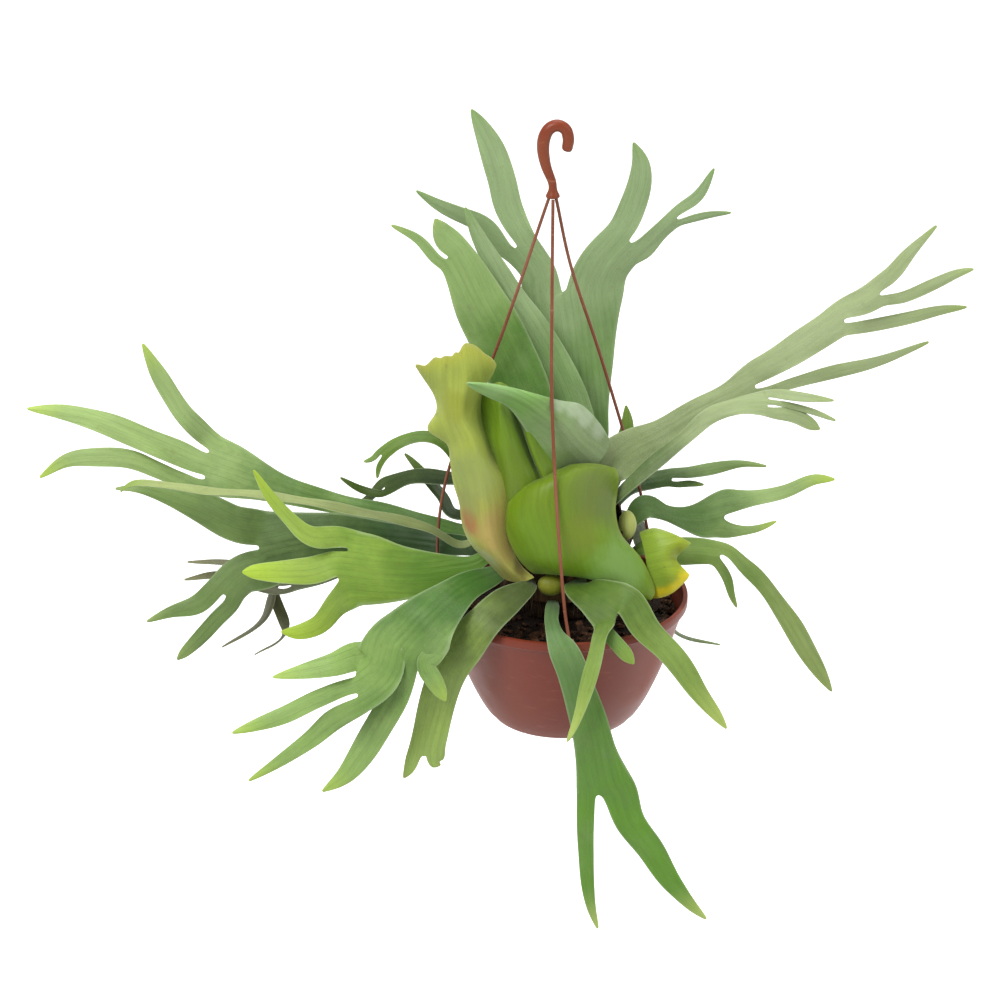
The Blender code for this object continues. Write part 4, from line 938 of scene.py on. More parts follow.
LEAVES: dict[str, Leaf] = {
    "frond_left_grey": Leaf(Frond.GREY, (-3.8, 1.9, 1.3), (0, -0.7, 0.7), (0.1, -0.8, 0.6), """
    -6.7 3.5 0 .62, -8.6 5.2 -.3 .62, -11.6 6 .2 .69, -15.4 6.1 1 .76, -18.1 5.9 1.8 .9,
    -21 5.6 3 1.38, -23 5.4 3.9 1.93, -24.2 5.3 4.4 2.13
      -25.6 5.5 7.5 .79, -26.7 5.6 9.2 .72, -27.7 5.7 11 .58, -28.6 5.8 12.9 .14
      -26.5 5.2 5.2 .89, -29.4 5.2 6.5 .86, -32 5.2 7.6 .75, -34.4 5.2 8.2 .51,
      -36.6 5.2 8.4 .14
      -26.1 5.1 3.1 .55, -27.9 5 4 .58, -29.7 4.9 4.8 .65, -31.9 4.8 5 .65, -34 4.7 4.8 .48,
      -35.9 4.5 3.6 .12"""),
    "frond_left_edge": Leaf(Frond.EDGE, (-3.4, 0.6, 2.2), (0, -0.4, 0.9), (0.1, -0.4, 1), """
    -6.7 .4 .3 .31, -9.2 -.2 1.9 .37, -13.3 -.6 3.1 .4, -17.3 -.9 4.1 .37, -21.1 -1 4.7 .34,
    -23.9 -1 4.9 .34, -26.8 -.9 5.3 .34, -28.9 -.8 5.4 .27, -29.8 -.7 4.7 .08"""),
    "frond_left_dark": Leaf(Frond.SHADE, (-4, 0.9, -0.4), (0, -0.9, 0.4), (0.05, -0.85, 0.5), """
    -6.6 2.2 -.5 .68, -8.6 3.5 -.9 .83, -11.5 3.9 -.7 1.03, -14.6 3.6 -.3 1.38,
    -17.7 3.1 -.4 1.92, -20.2 2.8 -.8 2.4
      -22.4 2.6 1 1.3, -24.6 2.5 2.2 1.09, -26.9 2.4 3.1 .61, -28.9 2.3 3.7 .31,
      -30.5 2.5 3.6 .12
      -22 2.6 -2.8 1.38, -23.3 2.5 -4.1 1.31
        -25.2 2.4 -5 .69, -27 2.3 -5.5 .41, -28.7 2.2 -6.2 .12
        -23.9 2.4 -6.1 .55, -25.2 2.3 -7.6 .52, -26.7 2.2 -9.1 .28"""),
    "frond_left_thin": Leaf(Frond.DUSK, (-3.4, 2.3, -0.2), (0, -0.1, 1), (0, -0.1, 1), """
    -8.5 5.2 -2.3 .69, -12.7 6.4 -3.4 .84, -16.9 6.8 -4.5 1.26, -19.4 6.8 -5.1 1.54
      -22.9 6.8 -3.8 .42, -26.2 6.8 -3.7 .12
      -23.6 6.4 -4.5 .42, -26.4 6.2 -4.8 .12
      -21 6.2 -7.9 .49, -23.9 6 -9.9 .12
      -19.4 5.8 -8.6 .42, -21.6 5.6 -10.3 .12"""),
    "frond_left_bright": Leaf(Frond.FRESH, (-4.1, -0.6, 0.9), (0, -0.5, 0.85), (0.1, -0.8, 0.6), """
    -5.8 -1.8 0 .61, -7.7 -2.5 -.1 1.01, -9.8 -3.3 0 1.74, -12.3 -4.1 .5 2.27, -14.4 -4.5 .9 2.53
      -16.8 -4.7 3.1 .73, -18.3 -4.8 4.6 .53, -19.5 -4.8 6.1 .4, -20.5 -4.8 7.9 .12
      -16.8 -5 .8 .93, -18.9 -5.2 .8 .76, -20.5 -5.4 .9 .53, -21.4 -5.5 .9 .27
      -15.3 -5.2 -1.7 .8, -16.3 -5.5 -2.9 .67, -17.8 -5.7 -3.4 .5, -18.9 -5.8 -3.3 .17"""),
    "frond_low_left": Leaf(Frond.LOW, (-3.7, -1.5, -0.5), (0, -0.6, 0.8), (-0.1, -0.9, 0.45), """
    -4.8 -3.5 -.2 .74, -6.8 -5.9 -.1 1.13, -8.9 -8.4 -1 1.78, -10.6 -8.9 -2.8 2.44
      -12.4 -9 -4.4 1.91, -13.6 -9 -5.5 1.92
        -15.3 -9.1 -4.2 .79, -17.3 -9 -4.7 .53, -19.3 -9.1 -5.1 .13
        -16.4 -9.1 -6.7 .6, -18.7 -9.1 -7.9 .6, -20.6 -9.2 -8.6 .4, -22.1 -9.3 -9.1 .12
        -15.3 -9.1 -8.2 .73, -16.9 -9 -9.7 .6, -19 -9.1 -11.3 .4, -21.1 -9.2 -12.7 .12
      -11.1 -9 -6.2 .93, -12.3 -9 -8.6 .93, -13.5 -8.8 -10.8 .87, -14.7 -8.9 -12.5 .6,
      -16.2 -9 -13.6 .13
      -9.3 -9.5 -3.8 .66, -8.6 -9.8 -5.1 .59, -7.9 -9.8 -6.5 .33"""),
    "frond_low_blunt": Leaf(Frond.OLIVE, (-2.2, -2.5, -0.9), (0, -0.7, 0.7), (-0.1, -0.95, 0.3), """
    -2.4 -4.6 -.5 .6, -3.8 -6 -.9 1.06, -5.3 -7.3 -1.8 1.19, -6.8 -7.5 -3.7 1.39,
    -7.9 -7.3 -5.8 1.27, -8.7 -7.2 -8.8 1.21, -9.3 -7.2 -11.6 1.21
      -10.4 -7.2 -12.8 .4, -10.8 -7.2 -13.5 .13
      -8.7 -7.2 -12.5 .47, -8.3 -7.2 -12.5 .27"""),
    "frond_left_arched": Leaf(Frond.ARCHED, (-3.9, 0.1, 2.6), (0, -0.4, 0.9), (0, -0.7, 0.7), """
    -6.3 .6 4.6 .41, -7.3 1 6.5 .4, -8.3 1.1 7.7 .44, -9.7 1.2 8 .47, -11.2 1.2 7.5 .47,
    -12.3 1.2 6.6 .47
      -12.9 1.2 6.3 .2, -13.5 1.2 6.1 .12
      -12.5 1.2 5.7 .2, -12.6 1.2 4.9 .12"""),
    "frond_left_shaded": Leaf(Frond.DARK, (-3.5, 1.7, 2.6), (0, -0.4, 0.9), (0, -0.7, 0.7), """
    -6.3 3.2 3.8 .55, -8.1 4.5 3.6 .55, -10.4 5.8 3.2 .62, -12.3 6.9 2 .69
      -13.9 7.2 1.6 .28, -15.4 7.2 2.5 .12
      -13.5 7.5 .8 .42, -15.1 7.7 -.3 .14"""),
    "frond_upper_left": Leaf(Frond.UPPER, (-1.5, 0.7, 5.2), (0, -0.9, 0.3), (0.1, -0.95, 0.2), """
    -1.5 1.4 6.9 1.08, -2.1 1.9 9.2 1.62, -3 2.3 11.4 1.88, -4.3 2.6 14.2 1.94, -5.6 2.8 16.7 1.8,
    -6.7 2.9 19 1.4, -7.4 2.9 20.3 1.2
      -9.7 2.9 21.3 .33, -11.5 2.9 22.3 .12
      -7.9 3 21.4 .86, -8.6 3 22.7 .26"""),
    "frond_upper_strap": Leaf(Frond.BACK, (0.2, 1.7, 5.2), (0, -0.9, 0.3), (0.1, -0.95, 0.2), """
    1.3 2.8 6.2 .95, .8 3.5 8.7 1.22, -.5 3.9 11.8 1.22, -1.9 4.1 14.5 1.01, -3.5 4.2 17 .81,
    -4.8 4.2 19.3 .64, -5.8 4.2 21.2 .47, -6.6 4.2 23.1 .13"""),
    "frond_tall_back": Leaf(Frond.BACK, (1.8, 2, 4.4), (0, -0.9, 0.3), (0, -0.97, 0.2), """
    2.1 4.4 5.9 .96, 1.8 5.2 8.3 1.37, 1.4 5.8 11.6 2.04, 1.1 6.1 14.1 2.65, .8 6.2 15.9 3.19
      -1.7 6.3 17.8 1.22, -3 6.3 19.6 1.35
        -5.4 6.3 21.1 .74, -7.2 6.3 22 .6, -8.6 6.3 22.7 .4, -9.9 6.3 23.6 .12
        -3.7 6.5 22.3 .94, -4.2 6.6 24.3 .94, -4.8 6.7 26.3 .87, -5.6 6.8 28 .53,
        -6.2 6.8 29.1 .13
      2.7 6.2 18.2 1.82, 4.1 6.2 20 1.62
        4.4 6.3 22 .91, 5 6.4 23.8 .84, 5.1 6.5 25.5 .6, 4.6 6.5 26.9 .13
        6.3 6.2 20.6 .67, 7.5 6.2 21.7 .67
          9 6.2 23.3 .4, 10 6.2 25.2 .12
          9.5 6.2 21.9 .3, 11.2 6.2 22.1 .12"""),
    "frond_right_long": Leaf(Frond.PALE, (2.8, -0.3, 4.3), (0, -0.8, 0.6), (-0.2, -0.85, 0.5), """
    2.7 -1.1 5.9 1, 3.5 -.7 7 1.54, 4.9 .1 7.8 1.27, 6.6 .9 8.4 .94, 9.1 1.3 9.9 .81,
    11.1 1.6 10.8 .87, 12.6 1.8 11.7 1.14
      14.8 2 13.5 1, 16.8 2.2 14.8 1.07, 18.4 2.4 16 1.2
        19.9 2.5 17.1 .93, 20.8 2.5 17.7 1
          21.8 2.6 19.1 .66, 23 2.7 20.6 .43, 24.6 2.8 22.3 .12
          22.7 2.6 17.4 .4, 24.7 2.7 18.3 .4, 26.1 2.7 19 .3, 27.2 2.7 19.3 .12
        20.6 2.5 15.4 .43, 23 2.6 15.9 .43, 25.1 2.7 16.4 .33, 26.9 2.8 16.6 .12
      15.5 1.8 11.6 .37, 18.2 2 12.3 .47, 21.2 2.2 13 .34, 24.4 2.3 14.3 .12"""),
    "frond_right_fold": Leaf(Frond.TURNED, (3, -1.2, 3.9), (0, -0.7, 0.7), (0, -0.6, 0.8), """
    4.1 -2.4 5.7 .53, 5.8 -2.5 7.4 .6, 8 -2.2 9.3 .6, 9.7 -1.8 10.7 .6, 11.7 -1.7 11.4 .73,
    13.4 -1.6 11.5 .99
      15.6 -1.6 11.9 .46, 17.8 -1.6 11.6 .12
      16.1 -1.5 10.9 .27, 18 -1.4 10.1 .12
      15.1 -1.9 10.7 .53, 16.3 -2 10.1 .46, 16.9 -2 9.7 .27"""),
    "frond_right_dark": Leaf(Frond.SHADE, (3.2, 2.4, 2.2), (0, -0.5, 0.85), (0, -0.7, 0.7), """
    4.5 4.7 2.7 .55, 6.1 5.6 2.9 .62, 7.6 5.9 3.1 .62
      9.9 6 3.6 .52, 12.3 6.1 4 .28, 14.1 6.1 3.8 .12
      8.8 5.9 2.6 .24, 9.8 5.9 2.5 .12"""),
    "frond_right_cupped": Leaf(Frond.GREY, (4, 0.5, 1.6), (0, -0.6, 0.8), (0, -0.8, 0.6), """
    5.5 1.4 2.8 .95, 6.9 1.9 2.1 .55, 8.3 2.2 1.6 .82, 9.6 2.4 1.5 1.3, 10.9 2.5 1.9 1.5
      12.9 2.6 2.9 .61, 15.1 2.7 3.3 .48, 17 2.7 4.2 .41, 18.5 2.7 4.2 .17
      12.3 2.5 .5 .34, 13.5 2.5 .7 .24, 14.6 2.5 1.2 .12"""),
    "frond_right_droop": Leaf(Frond.DROOP, (4.1, 0, -0.3), (0, -0.5, 0.85), (0.1, -0.8, 0.6), """
    5.5 -.5 .6 .61, 7.3 -.7 .4 1.01, 9.1 -.8 .4 .95, 10.6 -.9 .3 .81
      12.3 -.9 -.7 .58, 13.8 -.8 -2.3 .58, 15.3 -.8 -4.6 .68, 16.6 -.8 -6.8 .72,
      17.7 -.8 -8.7 .48, 18.5 -.8 -10.1 .12
      11.1 -1 -1.5 .34, 11.4 -1 -2.7 .24, 11.8 -1 -3.7 .12"""),
    "frond_front_fork": Leaf(Frond.LIME, (1, -2.8, -0.7), (0, -0.5, 0.85), (0, -0.8, 0.6), """
    .8 -4.9 -.4 .93, 2.1 -6.4 -.4 1.46, 3.3 -7.6 -.7 1.85
      2.2 -9.7 -1.8 .59, 1.8 -10.9 -3.1 .59, 1.2 -11.6 -5.3 .49, .6 -11.9 -7.2 .29,
      .1 -12 -8.4 .13
      5.3 -8.3 -1.9 .99, 7.1 -8.6 -3.7 .86, 8.8 -8.6 -6.3 .66, 10 -8.5 -8 .43,
      10.8 -8.4 -9.2 .13"""),
    "frond_front_long": Leaf(Frond.BLUISH, (-0.7, -2.8, -2.4), (0, -0.4, 0.9), (0, -1, 0.1), """
    -.8 -5 -1.9 .47, -.9 -7.2 -1.8 .46, -.7 -8.8 -2 .59, -.2 -9.8 -2.7 .98, .5 -10.3 -4.2 1.05,
    1.4 -10.6 -7.1 1.19, 2.1 -10.7 -10.2 1.39, 2.6 -10.7 -12.6 1.86
      1.4 -10.7 -15.6 .57, 1.5 -10.7 -18.6 .5, 1.8 -10.7 -21.3 .34, 2.3 -10.7 -23.1 .12
      4.4 -10.8 -15 1, 5.9 -10.9 -17.2 .9, 7.2 -11 -19.4 .67, 8.5 -11 -21.1 .4,
      9.6 -11 -22.2 .12"""),
    "frond_front_small": Leaf(Frond.GREEN, (2.2, -2.5, -1.2), (0, -0.4, 0.9), (0.1, -0.9, 0.4), """
    2.2 -6.8 -2 .4, 2.7 -8.6 -2 .46, 3.4 -9.3 -2.6 .49, 4.1 -9.7 -3.3 .46, 4.5 -9.8 -3.8 .2"""),
    "frond_right_tip": Leaf(Frond.GREEN, (3.1, 1, 4), (0, -0.9, 0.3), (0, -0.9, 0.3), """
    3.9 4.6 5.6 .48, 4.4 4.9 7.1 .48, 4.3 5 8.7 .14"""),
    "frond_left_sliver": Leaf(Frond.DARK, (-3.2, 2.4, 1.9), (0, -0.4, 0.9), (0.1, -0.7, 0.6), """
    -7.3 3.9 1.1 .45, -8.2 5.3 1.8 .41, -9.2 6.6 2.5 .38, -10.1 7 3.5 .28, -10.9 7.2 4.3 .12"""),
    "frond_back_right": Leaf(Frond.SHADE, (2.6, 2.8, 0.2), (0, 0.3, 0.9), (0.5, 0.6, 0.5), """
    3.4 5 .6 .5, 5 8.2 -.8 .8, 6.6 9.6 -5.2 1
      7.5 9.4 -9.1 .5, 8.7 9.2 -10.5 .35, 11.4 9 -11.1 .1
      6.6 9.8 -8.8 .6, 6 9.8 -12 .15"""),
    "frond_back_low": Leaf(Frond.GREY, (0.4, 3.5, -0.4), (0, 0.4, 0.9), (0, 1, 0.2), """
    .4 6.2 .4 .6, -.2 9.2 -.8 1.2, -.8 11.2 -4.6 1.8
      -2.4 11.8 -9 .9, -3.2 11.6 -13 .15
      .4 11.9 -8.6 .9, 1.3 11.8 -12.4 .15"""),
    "frond_back_out": Leaf(Frond.BACK, (0.8, 3.4, 2.6), (0, 0.1, 1), (0, -0.2, 1), """
    1 6.2 3.6 .6, .9 9.5 4.9 1.1, .7 12.5 5.6 1.7
      -.6 15.5 6 .8, -1.4 18.5 5.6 .15
      1.7 15.8 6.4 .8, 2 19 6.2 .15"""),
    "shield_back": Leaf(Shield.DRY, (-1.9, 3, -1), (0, 0, -1), (-0.2, 1, 0.1), """
    -2.3 4.4 -.6 1.3, -2.4 4.7 1.6 1.6, -2.2 4.5 3.9 1.5, -1.9 4 5.6 .8"""),
}

TAN = tint("baa05c")

DRAPES: dict[str, Drape] = {
    "shield_tall": Drape(Shield.TALL, """
    -4.1 -3.6 -.4, -3.6 -4 -.4, -3 -4.2 -.4, -2.5 -4.2 -.3, -2 -4 -.2
    -5.2 -3.4 .8, -4.6 -4.2 .9, -4 -4.6 .9, -3.4 -4.3 .7, -2.8 -3.6 .4
    -6.2 -3.2 1.9, -5.6 -4.4 2.3, -4.8 -4.9 2.4, -4.1 -4.4 2.1, -3.4 -3.4 1.5
    -6.8 -3 3.2, -6 -4.4 3.8, -5.2 -4.9 3.9, -4.4 -4.4 3.6, -3.6 -3.3 3
    -7 -3 4.8, -6.2 -4.3 5.4, -5.4 -4.8 5.6, -4.5 -4.4 5.4, -3.6 -3.3 5
    -7.4 -3 6.3, -6.5 -4.2 6.9, -5.6 -4.7 7.2, -4.8 -4.4 7.1, -3.8 -3.3 6.7
    -7.6 -2.9 7.8, -6.9 -4.1 8.4, -6.1 -4.6 8.6, -5.4 -4.3 8.5, -4.6 -2.8 7.9
    -7.8 -2.8 9, -7.1 -3.9 9.5, -6.5 -4.5 9.9, -5.8 -4.1 9.8, -5 -2 8.9
    -9.1 -2.6 9.9, -7.8 -3.8 10.8, -7.1 -4.5 11.3, -6.4 -4.1 11.2, -5.4 -1.6 10.1
    -8.5 -2.6 11.2, -7.8 -3.8 11.9, -7.1 -4.3 12.3, -6.5 -4 12.3, -5.5 -1.5 11.4
    -8.6 -2.7 12.3, -7.8 -3.9 13.1, -7.1 -4.2 13.5, -6.3 -4 13.5, -5.4 -1.9 12.5
    -9.3 -3.2 13.7, -8.2 -4.1 14.4, -7.1 -4.1 14.6, -6.1 -4 14.6, -4.8 -2.8 13.8
    -9.9 -3.6 14.8, -8.2 -4.2 15.6, -7.2 -4 15.8, -6.2 -3.9 16.5, -4.5 -3.3 14.7""",
        stains_and_shade=(
            Stain((-6.4, -4.0, 3.9), 0.014, tint("b0603e")),
            Stain((-4.4, -4.4, 3.6), 0.022, TAN, strength=0.85),
            Stain((-3.7, -4.2, 2.0), 0.014, TAN, strength=0.8),
            # a dark brown patch in the crease at the shield's foot
            Stain((-2.8, -4.0, 0.6), 0.009, tint("625222")),
            Stain((-5.3, -4.2, 1.2), 0.013, tint("bec48a"), strength=0.85),
            Stain((-6.2, -4.2, 7.2), 0.026, tint("92a25c"), strength=0.6),
            # painted shade: a dark olive patch darkens the shield's upper part
            Stain((-7.4, -4.2, 12.2), 0.016, tint("8e9428"), strength=0.6),
            Stain((-6.4, -4.0, 5.2), 0.016, tint("969c54"), strength=0.6)),
        ragged=0.007),
    "shield_inner": Drape(Shield.INNER, """
    -4.5 -3 4.7, -3.8 -3.6 4.9, -3 -3.9 5.2, -2.1 -3.9 5.4,
      -1.3 -3.6 5.5, -.9 -3.6 5.6, -.2 -3.2 5.7
    -5 -2.4 6.1, -4 -3.7 6.7, -3.2 -4 6.9, -2.2 -3.7 6.8,
      -1.6 -2.8 6.5, -1.3 -3.5 6.8, -.2 -2.3 6.8
    -5.2 -1.8 7.4, -4.3 -3.5 8.1, -3.6 -3.9 8.3, -2.7 -3.4 8.1,
      -2 -2.1 7.3, -1.8 -3.3 7.9, -.2 -1.9 7.6
    -5.6 -1.4 8.6, -4.6 -3.3 9.5, -3.9 -3.7 9.8, -3.2 -3.1 9.4,
      -2.5 -1.7 8.6, -2.3 -3.1 9.2, -.6 -1.7 8.6
    -5.8 -1.3 10, -4.6 -3.1 10.8, -4.2 -3.5 11.1, -3.7 -2.9 10.8,
      -3 -1.6 9.9, -2.6 -2.9 10.4, -1.1 -1.7 9.5
    -5.8 -1.2 11.2, -4.6 -2.9 12, -4.3 -3.2 12.2, -4 -2.7 11.9,
      -3.6 -1.6 11.2, -3 -2.4 11.3, -1.8 -1.6 10.6
    -5.6 -1.3 12.5, -4.8 -2 12.9, -4.3 -2.2 13.1, -3.8 -1.8 12.7,
      -3.4 -1.5 12.2, -2.8 -1.7 11.8, -1.8 -1.5 11.4"""),
    "shield_front": Drape(Shield.YOUNG, """
    -1.8 -2.9 -.2, -.7 -3.4 .1, .8 -3.7 0, 2.5 -3.6 -.3, 4.2 -3.2 -1.2, 5.6 -2.8 -2.1
    -2.1 -3.6 0, -.8 -4.4 .3, .7 -4.7 .3, 2.4 -4.6 -.1, 4.2 -4.1 -1.1, 5.8 -3.4 -2.1
    -3 -3.9 1.1, -1.8 -5 1.4, 0 -5.4 1.5, 2 -5.1 1.2, 3.8 -4.5 .3, 6.1 -3.2 -1.3
    -3.7 -3.9 2.5, -2.3 -5.2 3, -.3 -5.7 3.2, 1.7 -5.2 2.9, 3.3 -4.4 2.2, 5.2 -3 .7
    -4 -3.8 3.9, -2.6 -5.2 4.5, -.7 -5.7 4.8, 1.2 -5.1 4.5, 2.6 -4.2 3.9, 3.8 -2.9 2.5
    -3.8 -3.6 5.1, -2.5 -5 5.8, -.8 -5.5 6.1, 1 -4.9 5.9, 2.4 -3.9 5.3, 3.4 -2.7 4.1
    -3.2 -3.3 6.1, -2.1 -4.5 6.7, -.6 -5 7.2, 1.1 -4.5 6.9, 2.5 -3.6 6.4, 3.5 -2.5 5.3
    -1.6 -2.9 6.5, -.9 -3.8 7.2, .1 -4.2 7.6, 1.4 -3.9 7.6, 2.5 -3.2 7.1, 3.6 -2.3 6.3
    -.8 -2.4 6.7, -.2 -3 7.3, .5 -3.3 7.7, 1.5 -3.1 7.7, 2.5 -2.6 7.4, 3.4 -2 6.9""",
        stains_and_shade=(
            # painted shade: a grey-green patch darkens the dome's upper right side
            Stain((2.2, -4.2, 6.0), 0.030, tint("687832"), strength=0.7),
            Stain((0.9, -5.2, 3.6), 0.022, tint("768422"), strength=0.6),
            Stain((3.4, -4.0, 0.6), 0.030, tint("80a852"), strength=0.8))),
    "frond_center_fold": Drape(Frond.FOLD, """
    .4 -2 5.9, 1.3 -2.2 6.6, 2.2 -2.2 7.4, 2.8 -1.8 8.2, 3 -1.4 8.7
    -1 -2.3 6.9, -.2 -2.8 8.1, .8 -3.2 9.2, 1.6 -2.8 9.8, 2.3 -2.2 10.2
    -1.9 -2.6 8.6, -1.1 -3.2 9.8, -.3 -3.7 10.7, .4 -3.3 11.3, 1.1 -2.7 11.7
    -2.8 -3.1 10.4, -2.2 -3.6 11.2, -1.5 -3.9 11.7, -.8 -3.7 12.1, -.2 -3.3 12.2
    -3.8 -4 12.1, -3.3 -4.4 12.5, -2.7 -4.6 12.8, -2.1 -4.4 12.9, -1.6 -4.1 12.9
    -5 -4.7 13, -4.5 -5 13.3, -4 -5.1 13.6, -3.6 -4.9 13.7, -3.3 -4.7 13.6
    -6.1 -5.2 13.8, -5.8 -5.3 14, -5.5 -5.4 14.1, -5.3 -5.3 14.2, -5 -5.2 14.2
    -6.5 -5.4 14.2, -6.4 -5.4 14.3, -6.4 -5.5 14.3, -6.3 -5.4 14.3, -6.2 -5.4 14.3""",
        stains_and_shade=tuple(Stain(at, 0.009, tint("bacaac"), strength=0.6) for at in (
            (-0.4, -3.5, 12.1), (0.6, -3.2, 11.7), (1.4, -2.9, 10.9), (2.2, -2.3, 9.8)))),
    "shield_right": Drape(Shield.SIDE, """
    5.1 -1.4 2, 5.4 -2.2 1.2, 5.6 -2.7 .2, 5.7 -2.8 -1, 5.7 -2.7 -2.3
    6 -2 2.6, 6.2 -2.8 1.7, 6.3 -3.3 .7, 6.5 -3.4 -.5, 6.6 -3.1 -2
    7 -2.4 2.5, 6.9 -3.1 1.8, 6.9 -3.4 .9, 7.1 -3.7 -.2, 7.4 -3.5 -1.4
    7.8 -2.7 2.2, 7.7 -3.2 1.9, 7.4 -2.9 .8, 7.7 -3.6 .1, 8.2 -3.6 -.5
    8.5 -2.8 1.8, 8.1 -3.1 1.5, 7.5 -2.7 .6, 8.1 -3.4 .1, 8.4 -3.4 -.2""",
        stains_and_shade=tuple(Stain(at, 0.0105, tint("e2d024"), strength=0.95) for at in (
            (5.9, -2.8, -2.2), (6.7, -3.2, -1.9), (7.5, -3.5, -1.3), (8.2, -3.6, -0.5)))),
}


# ---- leaf building

@dataclass(frozen=True)
class BladeStyle:
    """How a kind of leaf is cut, curled, waved and thickened."""

    half: float                   # half width where the leaf leaves the mound
    curl: float                   # degrees that its edges turn back from its face
    wave: float                   # how far its edges wave up and down
    wave_length: float
    buckle: float                 # how far its face buckles
    veins: float                  # height of its raised veins


class LeafKind(Enum):
    """The two kinds of leaf that the plant bears."""

    FROND = BladeStyle(half=0.0034, curl=16.0, wave=0.0011, wave_length=0.047, buckle=0.0010,
                       veins=0.00022)
    SHIELD = BladeStyle(half=0.0070, curl=58.0, wave=0.0014, wave_length=0.026, buckle=0.0014,
                        veins=0.00018)


@dataclass
class Row:
    """A line of points across a blade, with the frame that the next strap starts from."""

    indices: list[int]
    places: list[float]           # each point's place across the strap, from -1 to 1
    centre: Vector
    along: Vector
    side: Vector
    half: float
    curl: float
    middle: float                 # how far off the blade's middle line the strap runs


